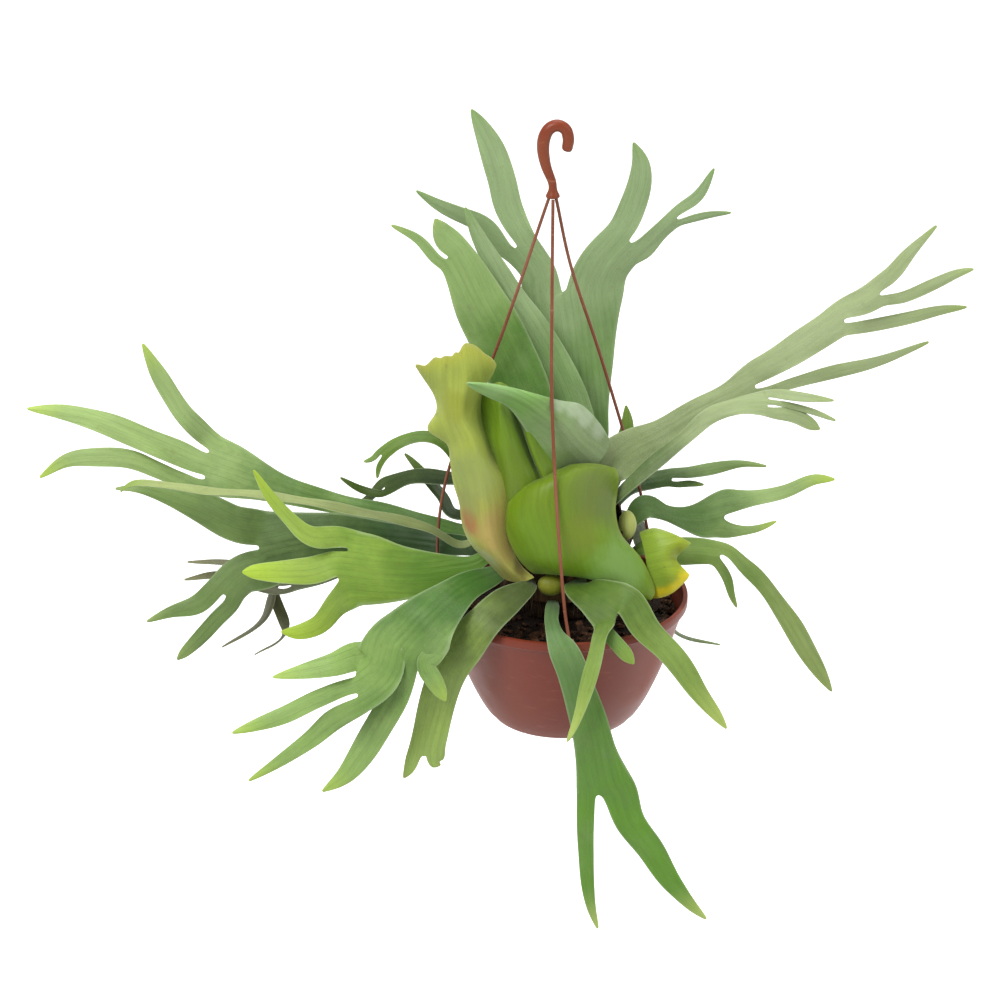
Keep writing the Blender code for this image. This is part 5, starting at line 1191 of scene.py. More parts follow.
@dataclass
class BladeSheet:
    """The middle surface of a forked blade, laid row by row from its stalk."""

    style: BladeStyle
    phase: float
    points: list[Vector] = field(default_factory=list)
    normals: list[Vector] = field(default_factory=list)
    blade: list[tuple[float, float]] = field(default_factory=list)
    margin: list[float] = field(default_factory=list)
    tip: list[float] = field(default_factory=list)
    run: list[float] = field(default_factory=list)
    stalk: list[float] = field(default_factory=list)
    faces: list[tuple[int, int, int, int]] = field(default_factory=list)

    ROW = 0.0052                  # spacing of the rows across a blade
    SINUS = 0.0026                # width of the rounded notch between two lobes
    FAN = 0.75                    # how far a fork's row turns towards each lobe
    COLUMNS = ((0.45, 2), (1.4, 4), (2.4, 8), (9.0, 12))
    SINUS_COLUMNS = 2
    TIP_RUN = 0.055               # the young tip colour starts this far from the end
    STALK_RUN = 0.080             # over this length a blade thins from stalk to blade
    STALK_THICK = 0.0024
    BLADE_THICK = 0.0010
    DRAPE_STEP = 5                # rows of faces between two rows of a drape's points
    FREE_EDGE = 0.14              # how much of a drape counts as its free edge
    LEAST_HALF = 0.0009           # half the width of the thinnest lobe
    TIP_HALF = 0.0008             # and of its end

    def add_row(self, centre: Vector, along: Vector, side: Vector, half: float, curl: float,
                places: list[float], travelled: float, middle: float, tip: float,
                bow: list[float] | None = None) -> Row:
        """Lay one row of points along an arc across the blade.

        Args:
            centre: The row's middle.
            along: The blade's direction there.
            side: The direction across it.
            half: Half its width.
            curl: Degrees that its edges turn back.
            places: Where the points lie across it, from -1 to 1.
            travelled: The distance from the stalk.
            middle: How far off the blade's middle line the strap runs.
            tip: How far into the young tip this is, from 0 to 1.
            bow: How far each point stands forward, as a share of half.

        Returns:
            The row.
        """
        normal = along.cross(side).normalized()
        turn = math.radians(max(curl, 0.5))
        radius = half / math.sin(min(turn, math.pi / 2))
        fade = min(1.0, travelled / self.STALK_RUN) * (1.0 - tip) * min(1.0, half / 0.006)
        indices = []
        for i, share in enumerate(places):
            angle = share * turn
            forward = bow[i] * half if bow else 0.0
            facing = normal * math.cos(angle) + side * math.sin(angle)
            flat = (centre + side * (radius * math.sin(angle)) + along * forward
                    - normal * (radius * (1 - math.cos(angle))))
            run = math.tau * (travelled + forward) / self.style.wave_length
            lift = self.style.wave * share * share * math.sin(run + self.phase + 1.9 * share)
            lift += self.style.buckle * noise.noise(flat * 24.0 + Vector((self.phase, 0, 0)))
            indices.append(len(self.points))
            self.points.append(flat + facing * lift * fade)
            self.normals.append(facing)
            self.blade.append((middle + share * half, travelled + forward))
            self.margin.append(abs(share))
            self.tip.append(tip)
            self.run.append(travelled)
            self.stalk.append(max(0.0, 1.0 - travelled / self.STALK_RUN))
        return Row(indices, places, centre, along, side, half, curl, middle)

    def join(self, low: Row, high: Row) -> None:
        """Fill the strip between two rows."""
        for i in range(len(low.indices) - 1):
            self.faces.append((low.indices[i], low.indices[i + 1], high.indices[i + 1],
                               high.indices[i]))

    def columns(self, part: Strap) -> int:
        """Count the columns of faces that a strap needs to give each lobe its own at the fork.

        Args:
            part: The strap.

        Returns:
            The number of columns.
        """
        if part.lobes:
            gaps = (len(part.lobes) - 1) * self.SINUS_COLUMNS
            return sum(self.columns(lobe) for lobe in part.lobes) + gaps
        widest = max(point[3] for point in part.path)
        return next(count for limit, count in self.COLUMNS if widest < limit)

    def fork_places(self, ordered: Sequence[Strap], half: float) -> tuple[list[float],
                                                                         list[int | None]]:
        """Where the points of a fork's row lie across it.

        Args:
            ordered: The lobes in their order across the blade.
            half: The blade's half width at the fork.

        Returns:
            The points' places from -1 to 1, and for each stretch its lobe, or None in a notch.
        """
        sinus = min(self.SINUS, half * 0.4) / half
        widths = [lobe.path[0][3] for lobe in ordered]
        free = 2.0 - sinus * (len(ordered) - 1)
        places, owners = [-1.0], []
        for i, (lobe, width) in enumerate(zip(ordered, widths)):
            if i:
                places += [places[-1] + sinus * (k + 1) / self.SINUS_COLUMNS
                           for k in range(self.SINUS_COLUMNS)]
                owners += [None] * self.SINUS_COLUMNS
            count = self.columns(lobe)
            share = free * width / sum(widths)
            start = places[-1]
            places += [start + share * (k + 1) / count for k in range(count)]
            owners += [i] * count
        return places, owners

    def fork_bow(self, end: Vector, ordered: Sequence[Strap], places: Sequence[float],
                 owners: Sequence[int | None], along: Vector, side: Vector) -> list[float]:
        """How far each point of a fork's row stands forward, so that lobes leave squarely.

        Args:
            end: The strap's last point, in centimetres.
            ordered: The lobes in their order across the blade.
            places: The row's places.
            owners: The lobe that each stretch between places belongs to.
            along: The blade's direction there.
            side: The direction across it.

        Returns:
            Each point's bow as a share of the half width.
        """
        leans = []
        for lobe in ordered:
            reach = Vector(lobe.path[0][:3]) - end
            lean = math.atan2(reach.dot(side), max(reach.dot(along), 0.2 * reach.length))
            leans.append(math.tan(lean * self.FAN))
        bow = [0.0]
        for i, owner in enumerate(owners):
            if owner is None:
                known = [o for o in owners[:i] if o is not None][-1]
                slope = (leans[known] + leans[known + 1]) / 2
            else:
                slope = leans[owner]
            bow.append(bow[-1] - slope * (places[i + 1] - places[i]))
        middle = sum(bow) / len(bow)
        return [value - middle for value in bow]

    def lay(self, part: Strap, first: Row, travelled: float, face: Vector,
            end_face: Vector) -> None:
        """Lay a strap's rows from its first row on, then its lobes.

        Args:
            part: The strap.
            first: The row that it starts from.
            travelled: The distance from the stalk to that row.
            face: The direction that the blade's upper side looks in there.
            end_face: And that by the strap's end.
        """
        controls = [Vector((*first.centre, first.half))]
        controls += [Vector((*(CROWN + Vector(p[:3]) * CM), p[3] * CM)) for p in part.path]
        reach = sum((b - a).to_3d().length for a, b in zip(controls, controls[1:]))
        rows, length = evenly(smooth_path(controls, first.along), max(4, round(reach / self.ROW)))
        end = Vector(part.path[-1][:3])
        ordered: list[Strap] = []
        end_places, owners, bow = first.places, [], None
        previous = first
        for i in range(1, len(rows)):
            here, blend = rows[i], i / (len(rows) - 1)
            after = rows[min(i + 1, len(rows) - 1)]
            along = (after - rows[i - 1]).to_3d().normalized()
            looks = face.lerp(end_face, blend)
            side = looks.cross(along).normalized()
            side = first.side.lerp(side, min(1.0, blend * 2.5)).normalized()
            side = (side - along * side.dot(along)).normalized()
            if i == 1 and part.lobes:
                across = side.copy()
                ordered = sorted(part.lobes, key=lambda lobe: (
                    Vector(lobe.path[0][:3]) - end).normalized().dot(across))
                end_places, owners = self.fork_places(ordered, controls[-1].w)
                last = (rows[-1] - rows[-3]).to_3d().normalized()
                bow = self.fork_bow(end, ordered, end_places, owners, last, side)
            half = max(here.w, self.LEAST_HALF)
            tip = 0.0
            if not ordered:
                left = length * (1 - blend)
                tip = max(0.0, 1.0 - left / min(self.TIP_RUN, length * 0.9))
                if i == len(rows) - 1:
                    half = min(half, self.TIP_HALF)
            shares = [a + (b - a) * blend for a, b in zip(first.places, end_places)]
            curl = first.curl + (self.style.curl - first.curl) * blend
            lean = [value * blend ** 3 for value in bow] if bow else None
            row = self.add_row(here.to_3d(), along, side, half, curl, shares,
                               travelled + length * blend, first.middle, tip, lean)
            self.join(previous, row)
            previous = row
        start = 0
        for k, lobe in enumerate(ordered):
            count = self.columns(lobe) + 1
            self.start_lobe(lobe, previous.indices[start:start + count], travelled + length)
            start += count - 1 + self.SINUS_COLUMNS

    def start_lobe(self, lobe: Strap, picked: list[int], travelled: float) -> None:
        """Lay a lobe from its share of a fork's row.

        Args:
            lobe: The lobe.
            picked: The points of the fork's row that the lobe starts from.
            travelled: The distance from the stalk.
        """
        left, right = self.points[picked[0]], self.points[picked[-1]]
        normals = [self.normals[i] for i in picked]
        normal = sum(normals, Vector()).normalized()
        side = (right - left).normalized()
        middle = self.points[picked[len(picked) // 2]].lerp(
            self.points[picked[(len(picked) - 1) // 2]], 0.5)
        offset = (self.blade[picked[0]][0] + self.blade[picked[-1]][0]) / 2
        shares = [2 * i / (len(picked) - 1) - 1 for i in range(len(picked))]
        row = Row(picked, shares, middle, side.cross(normal).normalized(), side,
                  (right - left).length / 2, math.degrees(normals[0].angle(normals[-1]) / 2),
                  offset)
        self.lay(lobe, row, travelled, normal, normal)

    def drape(self, rows: Sequence[Sequence[tuple[float, ...]]], ragged: float) -> None:
        """Lay the sheet smoothly through a grid of points.

        Args:
            rows: The grid from the foot to the free edge, in centimetres about the crown.
            ragged: How far the free edge runs in and out.
        """
        lines = [smooth_path([Vector((*(CROWN + Vector(p) * CM), 0.0)) for p in reversed(row)],
                             step=self.DRAPE_STEP) for row in rows]
        columns = [smooth_path(list(line), step=self.DRAPE_STEP) for line in zip(*lines)]
        travelled = 0.0
        for i in range(len(columns[0])):
            share = i / (len(columns[0]) - 1)
            row = [column[i].to_3d() for column in columns]
            half = (row[-1] - row[0]).length / 2
            if i:
                travelled += (columns[len(columns) // 2][i]
                              - columns[len(columns) // 2][i - 1]).to_3d().length
            top = max(0.0, 1.0 - (1.0 - share) / self.FREE_EDGE)
            for j, point in enumerate(row):
                out = 2 * j / (len(row) - 1) - 1
                torn = ragged * noise.noise(Vector((j * 0.9 + self.phase, 0.0, 0.0)))
                wave = noise.noise(point * 45.0 + Vector((self.phase, 0.0, 0.0)))
                self.points.append(point + Vector((0.0, 0.0, torn * top ** 2))
                                   + Vector((0.0, -1.0, 0.0)) * self.style.buckle * wave)
                self.blade.append((out * half, travelled))
                self.margin.append(max(abs(out), top))
                self.tip.append(top)
                self.run.append(travelled)
                self.stalk.append(0.5 * max(0.0, 1.0 - travelled / self.STALK_RUN))
        across = len(columns)
        for i in range(len(columns[0]) - 1):
            for j in range(across - 1):
                low = i * across + j
                self.faces.append((low, low + 1, low + across + 1, low + across))

    def piece(self, name: str, upper: Material, under: Material) -> Piece:
        """Make the sheet a closed blade: smoothed, ridged along its veins and thickened.

        Args:
            name: The piece's name.
            upper: The material of the side that the blade's face looks from.
            under: The material of its back.

        Returns:
            The blade.
        """
        mesh = bpy.data.meshes.new(name)
        mesh.from_pydata(self.points, [], self.faces)
        mesh.materials.append(under)
        mesh.materials.append(upper)
        layer = mesh.uv_layers.new(name="blade")
        for loop in mesh.loops:
            layer.data[loop.index].uv = self.blade[loop.vertex_index]
        longest = max(self.run)
        run = [distance / longest for distance in self.run]
        Bench.note(mesh, margin=self.margin, tip=self.tip, run=run)
        piece = Bench.place(name, mesh)
        group = piece.vertex_groups.new(name="thickness")
        for i, (margin, stalk) in enumerate(zip(self.margin, self.stalk)):
            thick = self.BLADE_THICK + (self.STALK_THICK - self.BLADE_THICK) * stalk
            group.add([i], thick * (1.0 - 0.45 * margin ** 2) / self.STALK_THICK, "REPLACE")
        Bench.modify(piece, "SUBSURF", levels=1, render_levels=1)
        self.raise_veins(piece.data)
        Bench.modify(piece, "SOLIDIFY", thickness=self.STALK_THICK, offset=0.0,
                     vertex_group="thickness", use_even_offset=False, use_rim=True,
                     material_offset=1, material_offset_rim=1)
        Bench.smooth(piece, 75.0)
        return piece

    def raise_veins(self, mesh: bpy.types.Mesh) -> None:
        """Lift the blade's long veins a little out of its face.

        Args:
            mesh: The blade's mesh.
        """
        uvs = mesh.uv_layers["blade"].data
        across = [0.0] * len(mesh.vertices)
        for loop in mesh.loops:
            across[loop.vertex_index] = uvs[loop.index].uv.x
        margin = mesh.attributes["margin"].data
        for vert in mesh.vertices:
            ridge = math.cos(math.tau * across[vert.index] / (2 * VEIN_SPACING)) ** 4
            vert.co += vert.normal * (self.style.veins * ridge * (1 - margin[vert.index].value))


@dataclass
class Foliage:
    """All leaves and buds, seated on the root mound."""

    paint: Paint
    seat_gap: float = 0.0006      # from the mound to a leaf's stalk
    stalk_curl: float = 2.0       # degrees that a stalk's edges turn back

    def __post_init__(self) -> None:
        """Take up the mound that the leaves stand on."""
        bm = bmesh.new()
        bm.from_mesh(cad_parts["root_mound"].data)
        self.mound = BVHTree.FromBMesh(bm)
        bm.free()

    def seat(self, point: Point) -> tuple[Vector, Vector]:
        """Find where a leaf leaves the mound.

        Args:
            point: The leaf's seat, in centimetres from the crown.

        Returns:
            The nearest point of the mound, and the way out of it there.
        """
        place = self.mound.find_nearest(CROWN + Vector(point) * CM)[0]
        offset = place - MOUND_CENTRE
        normal = Vector((offset.x / MOUND_HALF.x ** 2, offset.y / MOUND_HALF.y ** 2,
                         max(offset.z, 0.0) / MOUND_HALF.z ** 2))
        return place, normal.normalized()

    def grow(self, sheet: BladeSheet, leaf: Leaf) -> None:
        """Lay the sheet of a leaf that grows out of the mound in straps.

        Args:
            sheet: The sheet to lay it on.
            leaf: The leaf.
        """
        place, normal = self.seat(leaf.seat)
        face = Vector(leaf.face)
        face = (face - normal * face.dot(normal)).normalized()
        side = face.cross(normal).normalized()
        blade = leaf.blade
        count = sheet.columns(blade)
        places = [2 * i / count - 1 for i in range(count + 1)]
        first = sheet.add_row(place + normal * self.seat_gap, normal, side, sheet.style.half,
                              self.stalk_curl, places, 0.0, 0.0, 0.0)
        sheet.lay(blade, first, 0.0, face, Vector(leaf.end_face).normalized())

    def leaf(self, name: str, leaf: Leaf | Drape) -> None:
        """Build and dress one leaf.

        Args:
            name: The leaf's name, which is also its node's where the frame has one.
            leaf: How it grows or drapes.
        """
        shield = isinstance(leaf.finish, Shield)
        sheet = BladeSheet((LeafKind.SHIELD if shield else LeafKind.FROND).value,
                           phase=sum(map(ord, name)) % 63 / 10)
        if isinstance(leaf, Drape):
            sheet.drape(leaf.grid, leaf.ragged)
        else:
            self.grow(sheet, leaf)
        upper, under = (self.paint.leaf(f"{name}_{side}", leaf.finish.value, side == "under",
                                        leaf.stains_and_shade) for side in ("upper", "under"))
        Bench.deliver(sheet.piece(name + "_blade", upper, under), None,
                      "shield_frond" if shield else "fertile_frond",
                      *(node for node in (name,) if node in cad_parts))

    def build(self) -> None:
        """Build every leaf, first those that grow out and then those that drape."""
        for name, leaf in (*LEAVES.items(), *DRAPES.items()):
            self.leaf(name, leaf)


# ---- pot and hanger

@dataclass
class HangingPot:
    """The round moulded pot: a plain lip, a bowl wall, a foot ring and drain holes."""

    paint: Paint
    lip_height: float = 0.0055
    lip_step: float = 0.0024
    lip_width: float = 0.0030
    wall: float = 0.0017
    outside: tuple[tuple[float, float], ...] = ((0.0752, -0.030), (0.0673, -0.053),
                                                (0.0588, -0.072), (0.0528, -0.0822))
    foot: float = 0.0485
    foot_width: float = 0.004
    foot_height: float = 0.0014
    holes: int = 4
    hole_radius: float = 0.0035
    hole_ring: float = 0.030

    @property
    def rim(self) -> Vector:
        """The middle of the rim."""
        return Vector((POT_X, 0.0, RIM_Z))

    @property
    def floor(self) -> float:
        """The height of the inside of the bottom, from the rim."""
        return -POT_HEIGHT + self.foot_height + self.wall

    def bowl(self) -> list[tuple[float, float]]:
        """The outside of the wall from the lip down, as smooth (radius, height) points."""
        ends = [(RIM_RADIUS - self.lip_step, -self.lip_height - 0.0015), *self.outside,
                (self.foot + 0.0012, -POT_HEIGHT + 0.0016)]
        rows, _ = evenly(smooth_path([Vector((r, 0.0, h, 0.0)) for r, h in ends]), 18)
        return [(row.x, row.z) for row in rows]

    def build(self) -> None:
        """Build and dress the pot."""
        bowl = self.bowl()
        inner = RIM_RADIUS - self.lip_width
        profile = [(0.0, self.floor)]
        profile += [(radius - self.wall, max(height + self.wall * 0.6, self.floor))
                    for radius, height in reversed(bowl) if height < -self.lip_height - 0.003]
        profile += [(inner, -0.004), (inner, 0.0), (RIM_RADIUS, 0.0),
                    (RIM_RADIUS, -self.lip_height), *bowl, (self.foot, -POT_HEIGHT),
                    (self.foot - self.foot_width, -POT_HEIGHT),
                    (self.foot - self.foot_width - 0.001, -POT_HEIGHT + self.foot_height),
                    (0.0, -POT_HEIGHT + self.foot_height)]
        pot = Bench.spin("hanging_pot", profile, self.rim, 112)
        for i in range(self.holes):
            angle = math.tau * (i + 0.5) / self.holes
            place = self.rim + Vector((self.hole_ring * math.cos(angle),
                                       self.hole_ring * math.sin(angle), -POT_HEIGHT))
            cutter = Bench.primitive("cylinder", vertices=24, radius=self.hole_radius, depth=0.02,
                                     location=place)
            Bench.combine(pot, cutter, "DIFFERENCE")
        Bench.modify(pot, "BEVEL", width=0.0005, segments=2, limit_method="ANGLE",
                     angle_limit=math.radians(35))
        Bench.smooth(pot, 40.0)
        Bench.deliver(pot, self.paint.plastic(Plastic.TERRACOTTA_PLASTIC), "terracotta_plastic",
                      "pot")


@dataclass
class Hanger:
    """The moulded hanger: a question-mark hook, its yoke, and three strands with clips."""

    paint: Paint
    pot: HangingPot
    neck_x: float = -0.0026
    neck_radius: float = 0.0027
    yoke_radius: float = 0.0046
    yoke_top: float = -0.0400
    yoke_bottom: float = -0.0445
    yoke_gap: float = 0.0008
    strand_radius: float = 0.0011
    strand_ring: float = 0.0027
    clip_width: float = 0.0060
    clip_thick: float = 0.0016
    clip_leg: float = 0.0037
    fit: float = 0.0003

    # The bar's middle line up the neck and round the hook, as (x, z, radius) in centimetres.
    HOOK_LINE = ((-0.26, -4.00, 0.27), (-0.32, -3.39, 0.28), (-0.71, -2.34, 0.34),
                 (-0.90, -1.29, 0.40), (-0.84, -0.45, 0.42), (-0.52, 0.17, 0.41),
                 (0.02, 0.40, 0.40), (0.55, 0.12, 0.39), (0.73, -0.52, 0.38),
                 (0.66, -1.10, 0.36))
    # The way on from the bar's last point, and its rounded end as (distance, share of radius).
    END_WAY = (-0.26, 0.0, -0.965)
    HOOK_END = ((0.0010, 0.93), (0.0018, 0.78), (0.0022, 0.55))
    # Each strand's clip angle in degrees, and its route in centimetres about the crown.
    STRANDS = {
        "left": (160.0, ((-4.3, 1.1, 14.9), (-7.7, 2.0, 5.5), (-8.6, 2.7, -0.9))),
        "front": (-88.0, ((-0.9, -1.9, 18.7), (-0.9, -3.8, 12.5), (-0.6, -5.7, 6.2),
                          (-0.1, -7.6, -0.2))),
        "right": (38.0, ((0.4, 1.0, 20.0), (2.3, 2.1, 13.8), (4.0, 3.2, 7.8),
                         (5.2, 4.1, 3.3), (5.9, 4.8, -0.4))),
    }

    def build(self) -> None:
        """Build and dress the hanger."""
        hook_plastic = self.paint.plastic(Plastic.HOOK_PLASTIC)
        strand_plastic = self.paint.plastic(Plastic.STRAND_PLASTIC)
        self.hook(hook_plastic)
        for side, (angle, route) in self.STRANDS.items():
            self.strand(side, angle, route, strand_plastic)

    def hook(self, material: Material) -> None:
        """The hook's bar, with a blunt end, on its bell-shaped yoke.

        Args:
            material: Its plastic.
        """
        line = [Vector((x * CM, 0.0, z * CM, radius * CM)) for x, z, radius in self.HOOK_LINE]
        rows, _ = evenly(smooth_path(line), 66)
        tail = rows[-1]
        for reach, share in self.HOOK_END:
            end = tail.copy()
            end.xyz += Vector(self.END_WAY) * reach
            end.w *= share
            rows.append(end)
        hook = Bench.bar("hanger_hook_bar", rows, 8)
        top = self.yoke_top + 0.002
        bell = [(0.0, self.yoke_bottom), (self.yoke_radius - 0.0004, self.yoke_bottom),
                (self.yoke_radius, self.yoke_bottom + 0.0005),
                (self.yoke_radius - 0.0001, self.yoke_bottom + 0.0016),
                (self.yoke_radius - 0.0008, self.yoke_bottom + 0.0030),
                (self.neck_radius + 0.0004, self.yoke_top), (self.neck_radius, top), (0.0, top)]
        yoke = Bench.spin("hook_yoke", bell, Vector((self.neck_x, 0.0, 0.0)), 40)
        Bench.combine(hook, yoke, "UNION")
        Bench.smooth(hook, 50.0)
        Bench.deliver(hook, material, "hook_plastic", "hanger_hook")

    def clip_outline(self) -> list[tuple[float, float]]:
        """Draw the clip's section round the pot's lip.

        Returns:
            Its corners, each as (distance past the lip's face, height above the rim).
        """
        inner = -self.pot.lip_width - self.fit
        under = -self.pot.lip_height - 0.0015 - self.fit
        thick = self.clip_thick
        return [(inner - thick, -self.clip_leg), (inner, -self.clip_leg), (inner, self.fit),
                (self.fit, self.fit), (self.fit, under + 0.0010), (-0.0017, under - 0.0002),
                (-0.0017, under - thick), (self.fit + thick, under - thick),
                (self.fit + thick, self.fit + thick), (inner - thick, self.fit + thick)]

    def strand(self, side: str, clip_angle: float, route: Sequence[Point],
               material: Material) -> None:
        """One strand, from the yoke to its clip over the pot's lip.

        Args:
            side: Which strand it is.
            clip_angle: Where its clip sits round the rim, in degrees.
            route: The strand's way, in centimetres about the crown.
            material: Its plastic.
        """
        angle = math.radians(clip_angle)
        outward = Vector((math.cos(angle), math.sin(angle), 0.0))
        across = Vector((-outward.y, outward.x, 0.0))
        top = Vector((self.neck_x, 0.0, self.yoke_bottom - self.yoke_gap))
        top += outward * self.strand_ring
        foot = self.pot.rim + outward * (RIM_RADIUS - 0.0015) + Vector((0.0, 0.0, 0.0010))
        points = [top, *(CROWN + Vector(point) * CM for point in route), foot]
        rows, _ = evenly(smooth_path([Vector((*p, self.strand_radius)) for p in points]), 60)
        strand = Bench.bar(f"strand_{side}", rows, 4)

        mesh = bpy.data.meshes.new("clip")
        corners = [self.pot.rim + outward * (RIM_RADIUS + reach) - across * self.clip_width / 2
                   + Vector((0.0, 0.0, height)) for reach, height in self.clip_outline()]
        mesh.from_pydata(corners, [], [list(range(len(corners)))])
        clip = Bench.place(f"clip_{side}", mesh)
        with Bench.editing(clip):
            bpy.ops.mesh.extrude_region_move(
                TRANSFORM_OT_translate={"value": across * self.clip_width})
            Bench.close_up(0.00001)
        Bench.modify(clip, "BEVEL", width=0.0003, segments=2, limit_method="ANGLE")
        Bench.combine(strand, clip, "UNION")
        Bench.smooth(strand, 50.0)
        Bench.deliver(strand, material, "strand_plastic", f"hanger_strand_{side}")


# ---- potting mix and root mound

@dataclass
class PottingMix:
    """Damp bark and peat filling the pot, with loose chips and crumbs on top."""

    paint: Paint
    pot: HangingPot
    depth: float = 0.012          # from the rim down to the mix
    gap: float = 0.0008
    chips: int = 230
    chip_size: Point = (0.0066, 0.0034, 0.0015)
    chip_sizes: tuple[float, float] = (0.6, 1.7)    # the smallest and largest scale
    crumbs: int = 420
    crumb_radius: float = 0.0011
    crumb_sizes: tuple[float, float] = (0.5, 1.6)
    chip_breaks: Point = (0.0012, 0.0008, 0.0005)   # how far a chip's corners stray
    tilt: float = 0.35            # radians by which a chip usually leans
    inner: float = 0.034          # chips and crumbs lie between these radii
    outer: float = 0.0785
    seed: int = 11

    # Radii of the rings of points on the mix's top.
    RINGS = (0.02, 0.032, 0.04, 0.046, 0.05, 0.054, 0.058, 0.062, 0.066, 0.070, 0.074, 0.0765)

    def __post_init__(self) -> None:
        """Start the random draws."""
        self.random = random.Random(self.seed)

    def build(self) -> None:
        """Build and dress the mix."""
        self.body()
        self.scatter("bark_chips", self.chips, self.chip(), self.paint.litter(Litter.BARK),
                     self.chip_sizes)
        self.scatter("peat_crumbs", self.crumbs, self.crumb(), self.paint.litter(Litter.PEAT),
                     self.crumb_sizes)

    def body(self) -> None:
        """The mix itself: a plug that fills the pot, with a crumbly top."""
        wall = [(radius - self.pot.wall - self.gap, height) for radius, height in self.pot.bowl()
                if height < -self.depth - 0.001]
        top = [(0.0, -self.depth)]
        top += [(radius, -self.depth) for radius in self.RINGS]
        floor = self.pot.floor + 0.0004
        low = [(max(radius - 0.0005, 0.0), max(height, floor)) for radius, height in wall]
        mix = Bench.spin("potting_mix_fill", [*top, *low, (0.0, floor)], self.pot.rim, 120)
        level = RIM_Z - self.depth
        for vert in mix.data.vertices:
            reach = math.hypot(vert.co.x - POT_X, vert.co.y)
            if vert.co.z > level - 0.0004 and reach > 0.03:
                lumps = noise.fractal(vert.co * 160.0, 0.8, 2.0, 4)
                vert.co.z += 0.0013 * lumps + 0.0006 * noise.noise(vert.co * 700.0)
        Bench.smooth(mix, 60.0)
        Bench.deliver(mix, self.paint.litter(Litter.MIX), "bark_mix", "potting_mix")

    def chip(self) -> Piece:
        """One bark chip: a split, flat flake with broken ends.

        Returns:
            The chip.
        """
        chip = Bench.primitive("cube", size=1.0)
        chip.scale = self.chip_size
        Bench.settle(chip)
        with Bench.editing(chip):
            bpy.ops.mesh.subdivide(number_cuts=1)
        for vert in chip.data.vertices:
            at = vert.co * 420.0
            vert.co += Vector([reach * noise.noise(at + Vector((3.1 + 9.3 * axis, 0.4, 7.7)))
                               for axis, reach in enumerate(self.chip_breaks)])
        return chip

    def crumb(self) -> Piece:
        """One crumb of peat.

        Returns:
            The crumb.
        """
        crumb = Bench.primitive("ico_sphere", subdivisions=1, radius=self.crumb_radius)
        for vert in crumb.data.vertices:
            vert.co *= 1.0 + 0.5 * noise.noise(vert.co * 900.0 + Vector((0.5, 4.0, 2.0)))
        return crumb

    def spot(self, inset: float) -> Vector:
        """A random place on the mix, clear of the mound and the pot's wall.

        Args:
            inset: How far to keep from the wall.

        Returns:
            The place.
        """
        while True:
            angle = self.random.uniform(0.0, math.tau)
            reach = math.sqrt(self.random.uniform(self.inner ** 2, (self.outer - inset) ** 2))
            x, y = reach * math.cos(angle), reach * math.sin(angle)
            round_mound = math.hypot(x / MOUND_HALF.x, (y - MOUND_CENTRE.y) / MOUND_HALF.y)
            if round_mound > 1.0:
                return Vector((POT_X + x, y, RIM_Z - self.depth))

    def scatter(self, name: str, count: int, master: Piece, material: Material,
                sizes: tuple[float, float]) -> None:
        """Scatter turned and scaled copies of a master piece over the mix.

        Args:
            name: The joined piece's name.
            count: How many copies.
            master: The piece to copy.
            material: Its material.
            sizes: The smallest and the largest scale.
        """
        copies = []
        for _ in range(count):
            copy = Bench.place(name, master.data.copy())
            size = self.random.uniform(*sizes)
            turn = Matrix.Rotation(self.random.uniform(0.0, math.tau), 4, "Z")
            tilt = Matrix.Rotation(self.random.gauss(0.0, self.tilt), 4, "X")
            roll = Matrix.Rotation(self.random.gauss(0.0, self.tilt), 4, "Y")
            stretch = Matrix.Diagonal((size * self.random.uniform(0.8, 1.4), size, size, 1.0))
            lift = Vector((0.0, 0.0, self.random.uniform(0.0002, 0.0016)))
            copy.data.transform(Matrix.Translation(self.spot(0.004 * size) + lift)
                                @ turn @ tilt @ roll @ stretch)
            copies.append(copy)
        bpy.data.objects.remove(master)
        piece = Bench.join(name, copies)
        Bench.smooth(piece, 35.0)
        Bench.deliver(piece, material, "bark_mix")


